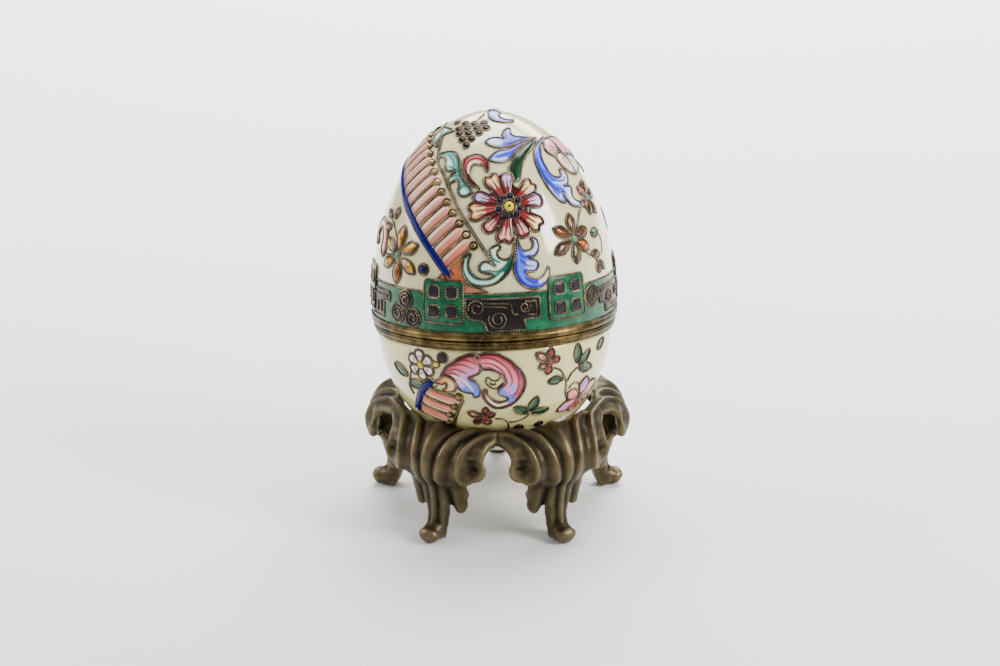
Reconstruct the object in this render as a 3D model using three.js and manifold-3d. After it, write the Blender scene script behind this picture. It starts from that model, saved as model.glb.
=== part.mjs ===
// Jewelled egg on its footed stand.
// The egg is an enamelled metal shell in two halves with gilt rims, and it lies loose in a cast brass stand.
// Units are millimetres. +Z is up, the front faces -Y, and azimuths run from the front towards +X.
import * as THREE from 'three';
import { mergeVertices } from 'three/addons/utils/BufferGeometryUtils.js';
import Module from 'manifold-3d';

const wasm = await Module();
wasm.setup();

// Fits shared by the pieces
const restGap = 0.3;
const slideGap = 0.3;

// Egg, measured along its own axis from the seam between lid and bowl
const lidRadius = 27.0;
const lidHeight = 46.1;
const lidShoulderPower = 2.47;
const lidCrownPower = 0.558;
const bowlRadius = 26.2;
const bowlDepth = 30.3;
const shellWall = 1.5;
const eggLeanBack = 9.07;
const eggLeanSide = -1.35;
const eggShiftX = -0.62;

// Gilt rims of the two halves
const lidRimHeight = 1.89;
const bowlRimHeight = 1.7;
const rimLip = 0.1;
const sleeveWall = 0.9;
const sleeveDepth = 2.4;
const sleeveRise = 2.6;
const lidBandWall = 0.6;
const lidBandRise = 2.2;

// Ornament raised on the shells: a cobalt roll, a band of flutes beside it and blocks on the frieze
const rollHalfWidth = 0.65;
const rollHalfHeight = 0.4;
const fluteCount = 14;
const fluteRelief = 0.35;
const fluteFill = 0.84;
const bowlFluteCount = 3;
const blockCount = 6;
const blockFirstAzimuth = 36.5;
const blockWidth = 9.3;
const blockBottom = 4.4;
const blockTop = 13.4;
const blockRelief = 0.35;

// Stand, measured from the surface that its feet stand on
const seatHeight = 26.53;
const seatRadius = 21.3;
const castingWall = 1.8;
const bulgeRadius = 29.4;
const bulgeDrop = 7.5;
const hemRadius = 26.8;
const hemDrop = 12.5;
const skirtDrop = 11.4;
const legAzimuths = [-32.4, 32.4, 107.2, 180, 252.8];
const voluteReach = 25.6;
const archRise = 1.35;
const legTopRise = 1.3;
const legHalfWidth = 2.3;
const legHalfDepth = 1.5;
const ankleRadius = 25.7;
const footRadius = 26.8;
const toeRadius = 28.3;
const toeHalfWidth = 2.5;
const footCut = 0.4;
const ridgeHalfWidth = 0.75;
const ridgeHalfHeight = 0.7;
const leafHalfWidth = 2.6;
const leafHalfLength = 4.0;
const leafHalfThickness = 0.95;
const leafReach = 5.4;
const leafLean = 18;

// Facets
const shellSegments = 36;
const standSegments = 36;

const radians = THREE.MathUtils.degToRad;

// A closed three.js geometry as a solid, without its zero-size triangles.
function solidOf(geometry) {
  const bare = geometry.clone();
  bare.deleteAttribute('normal');
  bare.deleteAttribute('uv');
  const merged = mergeVertices(bare, 1e-4);
  const corners = merged.index.array;
  const kept = [];
  for (let i = 0; i < corners.length; i += 3) {
    const [a, b, c] = [corners[i], corners[i + 1], corners[i + 2]];
    if (a !== b && b !== c && c !== a) kept.push(a, b, c);
  }
  return new wasm.Manifold(new wasm.Mesh({
    numProp: 3,
    vertProperties: new Float32Array(merged.attributes.position.array),
    triVerts: new Uint32Array(kept),
  }));
}

function geometryOf(solid) {
  const mesh = solid.getMesh();
  const geometry = new THREE.BufferGeometry();
  geometry.setAttribute('position', new THREE.BufferAttribute(new Float32Array(mesh.vertProperties), 3));
  geometry.setIndex(new THREE.BufferAttribute(new Uint32Array(mesh.triVerts), 1));
  geometry.computeVertexNormals();
  return geometry;
}

// A turned solid from (radius, height) points that run up the outside and back down the inside.
function turned(profile, segments) {
  const closed = [...profile, profile[0]].map(([radius, height]) => new THREE.Vector2(radius, height));
  return new THREE.LatheGeometry(closed, segments).rotateX(Math.PI / 2);
}

// Local frame at an azimuth: x runs sideways, y up and z outwards from the axis.
function frameAt(azimuth) {
  const turn = radians(azimuth);
  const sideways = new THREE.Vector3(Math.cos(turn), Math.sin(turn), 0);
  const up = new THREE.Vector3(0, 0, 1);
  const outward = new THREE.Vector3(Math.sin(turn), -Math.cos(turn), 0);
  return new THREE.Matrix4().makeBasis(sideways, up, outward);
}

function pointAt(azimuth, radius, height) {
  return new THREE.Vector3(0, height, radius).applyMatrix4(frameAt(azimuth));
}

// A rod along a curve: a cylinder whose sections are moved onto it.
// across(t) is the direction of its width, and halfWidth(t) and halfHeight(t) are its half sizes.
function rod(curve, across, halfWidth, halfHeight, sides, steps) {
  const geometry = new THREE.CylinderGeometry(1, 1, 1, sides, steps);
  const position = geometry.attributes.position;
  for (let i = 0; i < position.count; i += 1) {
    const t = THREE.MathUtils.clamp(0.5 - position.getY(i), 0, 1);
    const along = curve.getTangent(t);
    const width = across(t).clone().addScaledVector(along, -across(t).dot(along)).normalize();
    const height = new THREE.Vector3().crossVectors(along, width);
    const place = curve.getPoint(t);
    place.addScaledVector(width, position.getX(i) * halfWidth(t));
    place.addScaledVector(height, position.getZ(i) * halfHeight(t));
    position.setXYZ(i, place.x, place.y, place.z);
  }
  return geometry;
}

// Tapers a size to a small end at both ends of a rod.
function tapered(size, tip) {
  return (t) => size * (tip + (1 - tip) * Math.sqrt(Math.max(0, 1 - (2 * t - 1) ** 4)));
}

// Egg outlines: radius at a height on the lid, or at a depth below the seam on the bowl
function lidRadiusAt(height) {
  const share = THREE.MathUtils.clamp(height / lidHeight, 0, 1);
  return lidRadius * (1 - share ** lidShoulderPower) ** lidCrownPower;
}

function bowlRadiusAt(depth) {
  return bowlRadius * Math.sqrt(Math.max(0, 1 - (depth / bowlDepth) ** 2));
}

function eggPoint(azimuth, height) {
  return pointAt(azimuth, height >= 0 ? lidRadiusAt(height) : bowlRadiusAt(-height), height);
}

// A row of heights that gets closer towards the pole
function poleward(start, end, steps) {
  return Array.from({ length: steps + 1 }, (_, i) => start + (end - start) * Math.sin((i / steps) * Math.PI / 2));
}

// Lid shell: the upper egg with an even wall, open below, above its rim
const lidEdge = lidRimHeight + restGap;

function lidShell() {
  const innerHeight = lidHeight - shellWall;
  const outside = poleward(lidEdge, lidHeight, 11).map((height) => [lidRadiusAt(height), height]);
  const inside = poleward(lidEdge, innerHeight, 6).map((height) => {
    const share = (height / innerHeight) ** lidShoulderPower;
    return [(lidRadius - shellWall) * Math.max(0, 1 - share) ** lidCrownPower, height];
  });
  return solidOf(turned([...outside, ...inside.reverse()], shellSegments));
}

// Bowl shell: the lower egg with an even wall, open above, below its rim
const bowlEdge = bowlRimHeight + restGap;

function bowlProfile(radius, depth, startDepth, steps) {
  return poleward(startDepth, depth, steps).map((down) => {
    return [radius * Math.sqrt(Math.max(0, 1 - (down / depth) ** 2)), -down];
  });
}

function bowlShell() {
  const outside = bowlProfile(bowlRadius, bowlDepth, bowlEdge, 8).reverse();
  const inside = bowlProfile(bowlRadius - shellWall, bowlDepth - shellWall, bowlEdge, 5);
  return solidOf(turned([...outside, ...inside], shellSegments));
}

// Rims: the bowl's rim carries a sleeve that reaches down inside the bowl and up inside the lid
const sleeveRadius = bowlRadius - shellWall - slideGap;
const bowlRimRadius = bowlRadius + rimLip + 0.55;
const lidBandRadius = lidRadiusAt(lidBandRise + lidRimHeight) - shellWall - slideGap;

function bowlRim() {
  const inner = sleeveRadius - sleeveWall;
  const halfGap = restGap / 2;
  return turned([
    [inner, -bowlRimHeight - sleeveDepth],
    [sleeveRadius - slideGap, -bowlRimHeight - sleeveDepth],
    [sleeveRadius - slideGap, -bowlRimHeight],
    [bowlRimRadius, -bowlRimHeight],
    [bowlRimRadius, -halfGap],
    [sleeveRadius - slideGap, -halfGap],
    [sleeveRadius - slideGap, sleeveRise],
    [inner, sleeveRise],
  ], shellSegments);
}

function lidRim() {
  const halfGap = restGap / 2;
  return turned([
    [sleeveRadius, halfGap],
    [lidRadius + rimLip, halfGap],
    [lidRadius + rimLip, lidRimHeight],
    [lidBandRadius, lidRimHeight],
    [lidBandRadius, lidRimHeight + lidBandRise],
    [lidBandRadius - lidBandWall, lidRimHeight + lidBandRise],
    [lidBandRadius - lidBandWall, lidRimHeight],
    [sleeveRadius, lidRimHeight],
  ], shellSegments);
}

// A curve on the egg through (azimuth, height) points
function eggCurve(places) {
  return new THREE.CatmullRomCurve3(places.map(([azimuth, height]) => eggPoint(azimuth, height)));
}

// Direction that lies on the egg's surface, across a curve
function acrossOnEgg(curve) {
  return (t) => {
    const place = curve.getPoint(t);
    const outward = new THREE.Vector3(place.x, place.y, place.z * 0.5).normalize();
    return new THREE.Vector3().crossVectors(curve.getTangent(t), outward);
  };
}

// The roll runs up from the frieze, and the flutes stand between their roots at the roll and their tips.
const lidRollLine = eggCurve([[-20, 13.9], [-26, 17.1], [-37.2, 22], [-50.2, 26.7], [-72, 32.3], [-94, 34.8], [-114, 35.6]]);
const lidRootLine = eggCurve([[-22.2, 15.3], [-37.2, 22], [-50.2, 26.7], [-72, 32.3], [-94, 34.8], [-112, 35.6]]);
const lidTipLine = eggCurve([[-9, 20.7], [-17.5, 25.4], [-32.1, 31.7], [-52.8, 37.5], [-78, 40.2], [-112, 40.6]]);
const bowlRollLine = eggCurve([[-31.4, -9.9], [-36, -10.6], [-41.8, -12.7], [-47, -15.2], [-51.5, -17.2]]);
const bowlRootLine = eggCurve([[-40.8, -12.4], [-46, -14.8], [-50.5, -16.9]]);
const bowlTipLine = eggCurve([[-19.3, -13], [-24, -15.5], [-28.5, -17.9]]);

function roll(line, steps) {
  const width = tapered(rollHalfWidth, 0.35);
  const height = tapered(rollHalfHeight, 0.35);
  return solidOf(rod(line, acrossOnEgg(line), width, height, 5, steps));
}

// Convex flutes side by side between the two lines
function flutes(fromLine, toLine, count) {
  const made = [];
  for (let i = 0; i < count; i += 1) {
    const share = (i + 0.5) / count;
    const start = fromLine.getPointAt(share);
    const end = toLine.getPointAt(share);
    const middle = start.clone().add(end).multiplyScalar(0.5);
    const radiusShare = (start.length() + end.length()) / 2 / middle.length();
    const line = new THREE.QuadraticBezierCurve3(
      start,
      middle.clone().multiplyScalar(2 * radiusShare - 1),
      end,
    );
    const pitchStart = fromLine.getLength() / count;
    const pitchEnd = toLine.getLength() / count;
    const halfWidth = (t) => 0.5 * fluteFill * THREE.MathUtils.lerp(pitchStart, pitchEnd, t);
    made.push(solidOf(rod(line, acrossOnEgg(line), halfWidth, () => fluteRelief, 4, 2)));
  }
  return made;
}

// Raised blocks of the frieze: curved plates cut from a turned band
function blocks() {
  const plateSteps = [blockBottom, blockTop];
  const outer = plateSteps.map((height) => [lidRadiusAt(height) + blockRelief, height]);
  const inner = plateSteps.map((height) => [lidRadiusAt(height) - shellWall / 2, height]).reverse();
  const band = solidOf(turned([...outer, ...inner], shellSegments));
  const plan = new THREE.BoxGeometry(blockWidth, blockTop * 3, lidRadius);
  const made = [];
  for (let i = 0; i < blockCount; i += 1) {
    const azimuth = blockFirstAzimuth + (i * 360) / blockCount;
    const cutter = plan.clone().translate(0, 0, lidRadius).applyMatrix4(frameAt(azimuth));
    made.push(band.intersect(solidOf(cutter)));
  }
  return made;
}

function joined(solids) {
  return solids.reduce((whole, next) => whole.add(next));
}

// Stand: radius of the casting's outer face at a height
const bulgeHeight = seatHeight - bulgeDrop;
const hemHeight = seatHeight - hemDrop;
const skirtHeight = seatHeight - skirtDrop;

function castingRadiusAt(height, inset = 0) {
  const wide = bulgeRadius - inset;
  if (height >= bulgeHeight) {
    const share = Math.min(1, (height - bulgeHeight) / (bulgeDrop - inset));
    return seatRadius + (wide - seatRadius) * Math.sqrt(1 - share ** 2);
  }
  const share = (bulgeHeight - height) / (bulgeHeight - hemHeight);
  return wide - (bulgeRadius - hemRadius) * share ** 2;
}

function castingPoint(azimuth, height) {
  return pointAt(azimuth, castingRadiusAt(height), height);
}

function skirt() {
  const lower = [0, 0.5, 1].map((share) => THREE.MathUtils.lerp(skirtHeight, bulgeHeight, share));
  const upper = [0.34, 0.65, 0.88, 1].map((share) => bulgeHeight + bulgeDrop * share);
  const innerUpper = [1, 0.8, 0.45].map((share) => bulgeHeight + (bulgeDrop - castingWall) * share);
  const outside = [...lower, ...upper].map((height) => [castingRadiusAt(height), height]);
  const inside = [...innerUpper, ...lower.slice().reverse()].map((height) => {
    return [castingRadiusAt(height, castingWall), height];
  });
  const lip = [[seatRadius - castingWall, seatHeight], [seatRadius - castingWall, seatHeight - castingWall]];
  return solidOf(turned([...outside, ...lip, ...inside], standSegments));
}

// Opening of one arch, in the arch's own frame, with half its angle between the legs
function archOpening(azimuth, halfAngle) {
  const half = bulgeRadius * Math.sin(radians(halfAngle - voluteReach));
  const below = skirtHeight - 2;
  const right = [
    [half * 0.45, seatHeight - archRise],
    [half * 0.75, seatHeight - 2.4],
    [half, seatHeight - 5.1],
    [half * 0.82, seatHeight - 7.1],
    [half * 0.92, seatHeight - 9.3],
    [half + 0.9, seatHeight - 10.4],
    [half + 4.4, skirtHeight],
    [half + 5.5, below],
  ];
  const left = right.map(([x, y]) => [-x, y]).reverse();
  const outline = new THREE.Shape([...right, ...left].map(([x, y]) => new THREE.Vector2(x, y)));
  const prism = new THREE.ExtrudeGeometry(outline, { depth: bulgeRadius, bevelEnabled: false });
  return solidOf(prism.translate(0, 0, seatRadius / 2).applyMatrix4(frameAt(azimuth)));
}

// One leg: down over the bulge, in to the ankle and out to the toe
function leg(azimuth) {
  const toeBottom = legHalfDepth + 0.25 - footCut;
  const line = new THREE.CatmullRomCurve3([
    pointAt(azimuth, seatRadius + 2.9, seatHeight + legTopRise),
    pointAt(azimuth, seatRadius + 5.2, seatHeight - 0.3),
    pointAt(azimuth, bulgeRadius - 1.0, seatHeight - 3.2),
    pointAt(azimuth, bulgeRadius - 0.4, bulgeHeight),
    pointAt(azimuth, hemRadius + 0.6, hemHeight),
    pointAt(azimuth, ankleRadius, hemHeight * 0.7),
    pointAt(azimuth, ankleRadius - 0.2, hemHeight * 0.42),
    pointAt(azimuth, footRadius - 0.8, toeBottom + 0.35),
    pointAt(azimuth, footRadius + 0.4, toeBottom),
    pointAt(azimuth, toeRadius, toeBottom + 1.3),
  ]);
  const sideways = new THREE.Vector3(1, 0, 0).applyMatrix4(frameAt(azimuth));
  const halfWidth = (t) => {
    const top = THREE.MathUtils.smoothstep(t, 0, 0.3);
    const toe = THREE.MathUtils.smoothstep(t, 0.7, 0.88);
    const end = Math.sqrt(Math.max(0.06, 1 - Math.max(0, (t - 0.88) / 0.12) ** 2));
    return (THREE.MathUtils.lerp(0.9, legHalfWidth, top) + (toeHalfWidth - legHalfWidth) * toe) * end;
  };
  const halfHeight = (t) => {
    const end = Math.sqrt(Math.max(0.06, 1 - Math.max(0, (t - 0.88) / 0.12) ** 2));
    return (legHalfDepth + 0.25 * THREE.MathUtils.smoothstep(t, 0.7, 0.88)) * end;
  };
  return solidOf(rod(line, () => sideways, halfWidth, halfHeight, 6, 13));
}

// Scroll ridge from the top of the casting down beside the leg, on one side of it
function legRidge(azimuth, side) {
  const places = [[17.5, 0.45], [13, 0.95], [7.2, 2.5], [4.6, 5.6], [3.4, 8.6], [2.4, 11.4], [1.2, 14.2]];
  const line = new THREE.CatmullRomCurve3(places.map(([angle, drop]) => {
    return castingPoint(azimuth + side * angle, seatHeight - drop);
  }));
  const outward = pointAt(azimuth, 1, 0);
  const across = (t) => new THREE.Vector3().crossVectors(line.getTangent(t), outward);
  return solidOf(rod(line, across, tapered(ridgeHalfWidth, 0.4), tapered(ridgeHalfHeight, 0.4), 4, 5));
}

// Ridge that follows one arch from volute to volute over its opening
function archRidge(azimuth, halfAngle) {
  const foot = halfAngle - 14.6;
  const half = [[foot + 1.5, 10.6], [foot + 1.2, 8], [foot, 5.4], [foot - 3.2, 2.3], [foot * 0.55, 0.95]];
  const right = half.map(([angle, drop]) => castingPoint(azimuth + angle, seatHeight - drop));
  const left = half.map(([angle, drop]) => castingPoint(azimuth - angle, seatHeight - drop));
  const line = new THREE.CatmullRomCurve3([...left, castingPoint(azimuth, seatHeight - 0.7), ...right.reverse()]);
  const outward = pointAt(azimuth, 1, 0);
  const across = (t) => new THREE.Vector3().crossVectors(line.getTangent(t), outward);
  return solidOf(rod(line, across, tapered(ridgeHalfWidth, 0.4), tapered(ridgeHalfHeight, 0.4), 4, 10));
}

// Leaf that hangs beside the leg below its volute
function leaf(azimuth, side) {
  const blade = new THREE.SphereGeometry(1, 6, 4);
  blade.scale(leafHalfWidth, leafHalfLength, leafHalfThickness);
  blade.rotateX(radians(leafLean));
  blade.rotateZ(radians(side * 8));
  const drop = leafHalfLength * Math.cos(radians(leafLean)) - castingWall / 2;
  const pullIn = leafHalfLength * Math.sin(radians(leafLean)) + castingWall / 2;
  blade.translate(side * leafReach, skirtHeight - drop, castingRadiusAt(skirtHeight) - pullIn);
  return solidOf(blade.applyMatrix4(frameAt(azimuth)));
}

// Seam height at which the bowl rests in the ring, with the rest gap between them
const restRadius = bowlRadius + restGap;
const restDepth = bowlDepth + restGap;
const seamHeight = seatHeight + restDepth * Math.sqrt(1 - (seatRadius / restRadius) ** 2);

const egg = new THREE.Group();
egg.position.set(eggShiftX, 0, seamHeight);
egg.rotation.set(radians(-eggLeanBack), radians(eggLeanSide), 0, 'YXZ');
egg.updateMatrix();

// Space that the resting egg needs
function seatClearance() {
  const profile = bowlProfile(restRadius, restDepth, 0, 7).reverse();
  const body = turned([...profile, [0, 0]], standSegments);
  return solidOf(body.applyMatrix4(egg.matrix));
}

function stand() {
  const order = legAzimuths.slice().sort((a, b) => a - b);
  let casting = skirt();
  order.forEach((azimuth, i) => {
    const next = i + 1 < order.length ? order[i + 1] : order[0] + 360;
    const middle = (azimuth + next) / 2;
    const halfAngle = (next - azimuth) / 2;
    casting = casting.subtract(archOpening(middle, halfAngle)).add(archRidge(middle, halfAngle));
  });
  for (const azimuth of order) {
    casting = casting.add(leg(azimuth));
    for (const side of [-1, 1]) {
      casting = casting.add(legRidge(azimuth, side)).add(leaf(azimuth, side));
    }
  }
  const floorBlock = new THREE.BoxGeometry(4 * bulgeRadius, 4 * bulgeRadius, seatHeight);
  casting = casting.subtract(solidOf(floorBlock.translate(0, 0, -seatHeight / 2)));
  return casting.subtract(seatClearance());
}

// Materials
const brass = new THREE.MeshStandardMaterial({ color: 0x7c6a3e, roughness: 0.42, metalness: 0.9 });
const gilt = new THREE.MeshStandardMaterial({ color: 0xa08a55, roughness: 0.35, metalness: 0.95 });
const creamLid = new THREE.MeshStandardMaterial({ color: 0xd3d3bd, roughness: 0.18, metalness: 0 });
const creamBowl = new THREE.MeshStandardMaterial({ color: 0xd6d3b2, roughness: 0.18, metalness: 0 });

function piece(name, geometry, material) {
  const mesh = new THREE.Mesh(geometry, material);
  mesh.name = name;
  return mesh;
}

const lidBody = joined([
  lidShell(),
  roll(lidRollLine, 10),
  ...flutes(lidRootLine, lidTipLine, fluteCount),
  ...blocks(),
]);
const bowlBody = joined([
  bowlShell(),
  roll(bowlRollLine, 4),
  ...flutes(bowlRootLine, bowlTipLine, bowlFluteCount),
]);

egg.add(piece('bowl', geometryOf(bowlBody), creamBowl));
egg.add(piece('bowl_rim', geometryOf(solidOf(bowlRim())), gilt));
egg.add(piece('lid_rim', geometryOf(solidOf(lidRim())), gilt.clone()));
egg.add(piece('lid', geometryOf(lidBody), creamLid));

const ornament = new THREE.Group();
ornament.add(piece('stand', geometryOf(stand()), brass));
ornament.add(egg);

// The origin is the middle of the footprint, on the surface that the feet stand on.
ornament.updateMatrixWorld(true);
const extent = new THREE.Box3().setFromObject(ornament, true);
const middle = extent.getCenter(new THREE.Vector3());
ornament.position.set(-middle.x, -middle.y, 0);

export default ornament;
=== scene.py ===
# Looks of the jewelled egg on its footed stand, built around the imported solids.
# The ornament is worked out in millimetres in the egg's own frame, from the seam between lid and bowl.
import math

import bpy
import numpy as np
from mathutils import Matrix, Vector, noise
from mathutils.geometry import delaunay_2d_cdt


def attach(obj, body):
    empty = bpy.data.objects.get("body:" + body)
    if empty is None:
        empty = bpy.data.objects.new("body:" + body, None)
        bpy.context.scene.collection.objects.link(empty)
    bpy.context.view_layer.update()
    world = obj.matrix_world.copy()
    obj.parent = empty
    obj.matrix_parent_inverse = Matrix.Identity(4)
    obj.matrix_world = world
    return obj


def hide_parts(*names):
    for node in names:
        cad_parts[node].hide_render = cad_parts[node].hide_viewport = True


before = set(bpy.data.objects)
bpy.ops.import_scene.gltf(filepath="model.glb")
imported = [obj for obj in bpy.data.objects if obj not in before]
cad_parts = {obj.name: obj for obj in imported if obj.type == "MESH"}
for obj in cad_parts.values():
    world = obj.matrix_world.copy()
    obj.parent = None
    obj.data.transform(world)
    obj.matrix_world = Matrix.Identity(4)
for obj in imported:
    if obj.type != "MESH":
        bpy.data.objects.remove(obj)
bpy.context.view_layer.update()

MM = 0.001

# Sizes that the looks share with the solids, in millimetres
REST_GAP = 0.3
LID_RADIUS = 27.0
LID_HEIGHT = 46.1
BOWL_RADIUS = 26.2
BOWL_DEPTH = 30.3
SHELL_WALL = 1.5
LID_RIM_HEIGHT = 1.89
LID_COLLAR_TOP = 4.09
LID_COLLAR_WALL = 0.6
BOWL_RIM_HEIGHT = 1.7
SLEEVE_TOP = 2.6
SLEEVE_BOTTOM = -4.1
SLEEVE_WALL = 0.9
FRIEZE_BOTTOM = 1.95
FRIEZE_TOP = 10.55

# Sizes of the enamel work, in millimetres, and the points of a line round the egg
WIRE_RADIUS = 0.27
BEAD_PITCH = 0.58
CELL_GRID = 0.22
GIRDLE_STEPS = 720


def unit(vectors):
    """Vectors scaled to length one, along the last axis."""
    vectors = np.asarray(vectors, float)
    return vectors / np.maximum(np.linalg.norm(vectors, axis=-1, keepdims=True), 1e-12)


# The egg's frame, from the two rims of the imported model
def node_points(name):
    """Corners of a solid in millimetres, each one once."""
    corners = np.array([v.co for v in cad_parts[name].data.vertices]) / MM
    return np.unique(corners.round(4), axis=0)


lid_rim_points = node_points("lid_rim")
bowl_rim_points = node_points("bowl_rim")
egg_axis = unit(lid_rim_points.mean(0) - bowl_rim_points.mean(0))
seam_level = (lid_rim_points @ egg_axis).min() - REST_GAP / 2
egg_centre = bowl_rim_points.mean(0)
egg_centre = egg_centre + egg_axis * (seam_level - egg_centre @ egg_axis)
egg_east = unit(np.cross((0, 1, 0), egg_axis))
EGG_AXES = np.stack([egg_east, np.cross(egg_axis, egg_east), egg_axis])


def from_egg(points):
    """Millimetres in the egg's frame as millimetres in the part's frame."""
    return egg_centre + np.asarray(points, float) @ EGG_AXES


# Colours
LIGHT_LEVEL = 2.7


def rgb(red, green, blue):
    """The tint that shows as this screen colour. The light and the picture's soft curve pale every tint."""
    shown = np.array([red, green, blue]) / 255
    shown = shown * min(1, 0.86 / shown.max())
    return np.clip(0.216 * (shown / (1 - shown)) ** 1.234 / LIGHT_LEVEL, 0.002, 0.9)


WHITE = rgb(238, 236, 228)
CREAM_LID = rgb(212, 210, 190)
CREAM_BOWL = rgb(212, 208, 174)
COBALT = rgb(14, 14, 116)
NAVY = rgb(8, 8, 50)
ROYAL = rgb(48, 66, 190)
SKY = rgb(140, 166, 226)
ICE = rgb(218, 222, 230)
TEAL_DARK = rgb(8, 78, 62)
TEAL = rgb(30, 124, 100)
TURQUOISE = rgb(84, 164, 150)
MIST = rgb(214, 230, 224)
ROSE = rgb(216, 152, 158)
PALE_ROSE = rgb(230, 196, 190)
CRIMSON = rgb(98, 16, 20)
SCARLET = rgb(200, 84, 70)
SALMON = rgb(202, 166, 144)
ORANGE = rgb(204, 138, 84)
TAN = rgb(190, 164, 116)
LEMON = rgb(230, 216, 156)
YELLOW = rgb(212, 208, 56)
LILAC = rgb(196, 184, 216)
LEAF = rgb(44, 122, 74)
LEAF_DARK = rgb(12, 50, 26)
LEAF_PALE = rgb(140, 176, 110)
EMERALD = rgb(14, 124, 82)
EMERALD_DARK = rgb(6, 72, 44)
EMERALD_LIGHT = rgb(66, 182, 134)
PLUM = rgb(34, 25, 29)
BLACK = rgb(10, 8, 8)
AMBER = np.array([0.62, 0.3, 0.002])
AMBER_DEEP = np.array([0.19, 0.07, 0.001])
AMBER_BURNT = np.array([0.16, 0.036, 0.002])
OLIVE = rgb(96, 84, 44)
UMBER = np.array([0.03, 0.013, 0.004])


def ramp(share, stops):
    """Colours at shares from 0 to 1 along (share, colour) stops."""
    places = [place for place, _ in stops]
    colours = np.array([colour for _, colour in stops])
    return np.stack([np.interp(share, places, colours[:, i]) for i in range(3)], -1)


def fade(distance, width):
    """One on a line, falling smoothly to zero at a width from it."""
    share = np.clip(1 - np.asarray(distance) / width, 0, 1)
    return share * share * (3 - 2 * share)


def mixed(first, second, share):
    return first + (second - first) * np.asarray(share)[..., None]


def mottle(points, size, seed=0.0):
    """Smooth values from about -1 to 1 that vary over a size in millimetres."""
    return np.array([noise.noise(Vector(p) / size + Vector((seed, seed, seed))) for p in points])


# Curves
def circle(centre, radius, points=24):
    turn = np.linspace(0, 2 * np.pi, points, endpoint=False)
    return np.asarray(centre) + radius * np.stack([np.cos(turn), np.sin(turn)], -1)


def lengths_along(points):
    """How far along a line each of its points is."""
    return np.concatenate([[0], np.cumsum(np.linalg.norm(np.diff(points, axis=0), axis=1))])


def even(points, step, closed=False, multiple=1):
    """Evenly spaced points on a line through the given ones."""
    if closed:
        points = np.vstack([points, points[:1]])
    along = lengths_along(points)
    count = multiple * max(2, round(along[-1] / step / multiple))
    wanted = np.linspace(0, along[-1], count + 1)
    if closed:
        wanted = wanted[:-1]
    return np.stack([np.interp(wanted, along, points[:, i]) for i in range(points.shape[1])], -1)


def smooth(points, closed=False, steps=10):
    """A smooth curve through the given points."""
    points = np.asarray(points, float)
    if closed:
        padded = np.vstack([points[-1:], points, points[:2]])
    else:
        padded = np.vstack([2 * points[0] - points[1], points, 2 * points[-1] - points[-2]])
    t = np.linspace(0, 1, steps, endpoint=False)[:, None]
    parts = []
    for a, b, c, d in zip(padded, padded[1:], padded[2:], padded[3:]):
        bend = (2 * a - 5 * b + 4 * c - d) * t ** 2 + (3 * b - a - 3 * c + d) * t ** 3
        parts.append(0.5 * (2 * b + (c - a) * t + bend))
    if not closed:
        parts.append(points[-1:])
    return np.vstack(parts)


def path_distance(points, path):
    """Distance from each point to a line, and how far along it the nearest place is, from 0 to 1."""
    start, reach = path[:-1], np.diff(path, axis=0)
    span = np.maximum((reach ** 2).sum(1), 1e-12)
    share = np.clip(((points[:, None] - start) * reach).sum(-1) / span, 0, 1)
    gap = np.linalg.norm(points[:, None] - start - share[..., None] * reach, axis=-1)
    nearest = gap.argmin(1)
    rows = np.arange(len(points))
    along = np.concatenate([[0], np.cumsum(np.sqrt(span))])
    place = along[nearest] + share[rows, nearest] * np.sqrt(span)[nearest]
    return gap[rows, nearest], place / along[-1]


def inside(points, outline):
    """Which points lie inside a closed outline."""
    start, end = outline, np.roll(outline, -1, axis=0)
    x, y = points[:, 0], points[:, 1]
    rise = end[:, 1] - start[:, 1]
    rise = np.where(np.abs(rise) < 1e-9, 1e-9, rise)
    crosses = (start[:, 1:2] > y) != (end[:, 1:2] > y)
    at = start[:, :1] + (y - start[:, 1:2]) / rise[:, None] * (end[:, :1] - start[:, :1])
    return (crosses & (x < at)).sum(0) % 2 == 1


def fill(outline, spacing):
    """Flat triangles that fill a closed outline, and how far their corners lie from its edge."""
    low, high = outline.min(0), outline.max(0)
    columns, rows = np.meshgrid(np.arange(low[0], high[0], spacing), np.arange(low[1], high[1], spacing))
    grid = np.stack([columns.ravel(), rows.ravel()], -1) + spacing / 2
    grid[:, 0] += spacing / 2 * (np.round((grid[:, 1] - low[1]) / spacing - 0.5) % 2)
    ring = np.vstack([outline, outline[:1]])
    grid = grid[inside(grid, outline)]
    if len(grid):
        grid = grid[path_distance(grid, ring)[0] > 0.55 * spacing]
    points = np.vstack([outline, grid])
    count = len(outline)
    edges = [(i, (i + 1) % count) for i in range(count)]
    corners, _, faces, *_ = delaunay_2d_cdt([Vector(p) for p in points], edges, [], 0, 1e-5)
    flat = np.array([tuple(p) for p in corners])
    faces = np.array([f for f in faces if len(f) == 3])
    faces = faces[inside(flat[faces].mean(1), outline)]
    return flat, faces, path_distance(flat, ring)[0]


def edge_loops(faces):
    """Closed loops of corners round the edge of a set of triangles."""
    ahead = set()
    for a, b, c in faces.tolist():
        for pair in ((a, b), (b, c), (c, a)):
            if pair[::-1] in ahead:
                ahead.remove(pair[::-1])
            else:
                ahead.add(pair)
    following = dict(ahead)
    loops = []
    while following:
        start, place = following.popitem()
        loop = [start]
        while place in following:
            loop.append(place)
            place = following.pop(place)
        if len(loop) > 2:
            loops.append(loop)
    return loops


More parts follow.
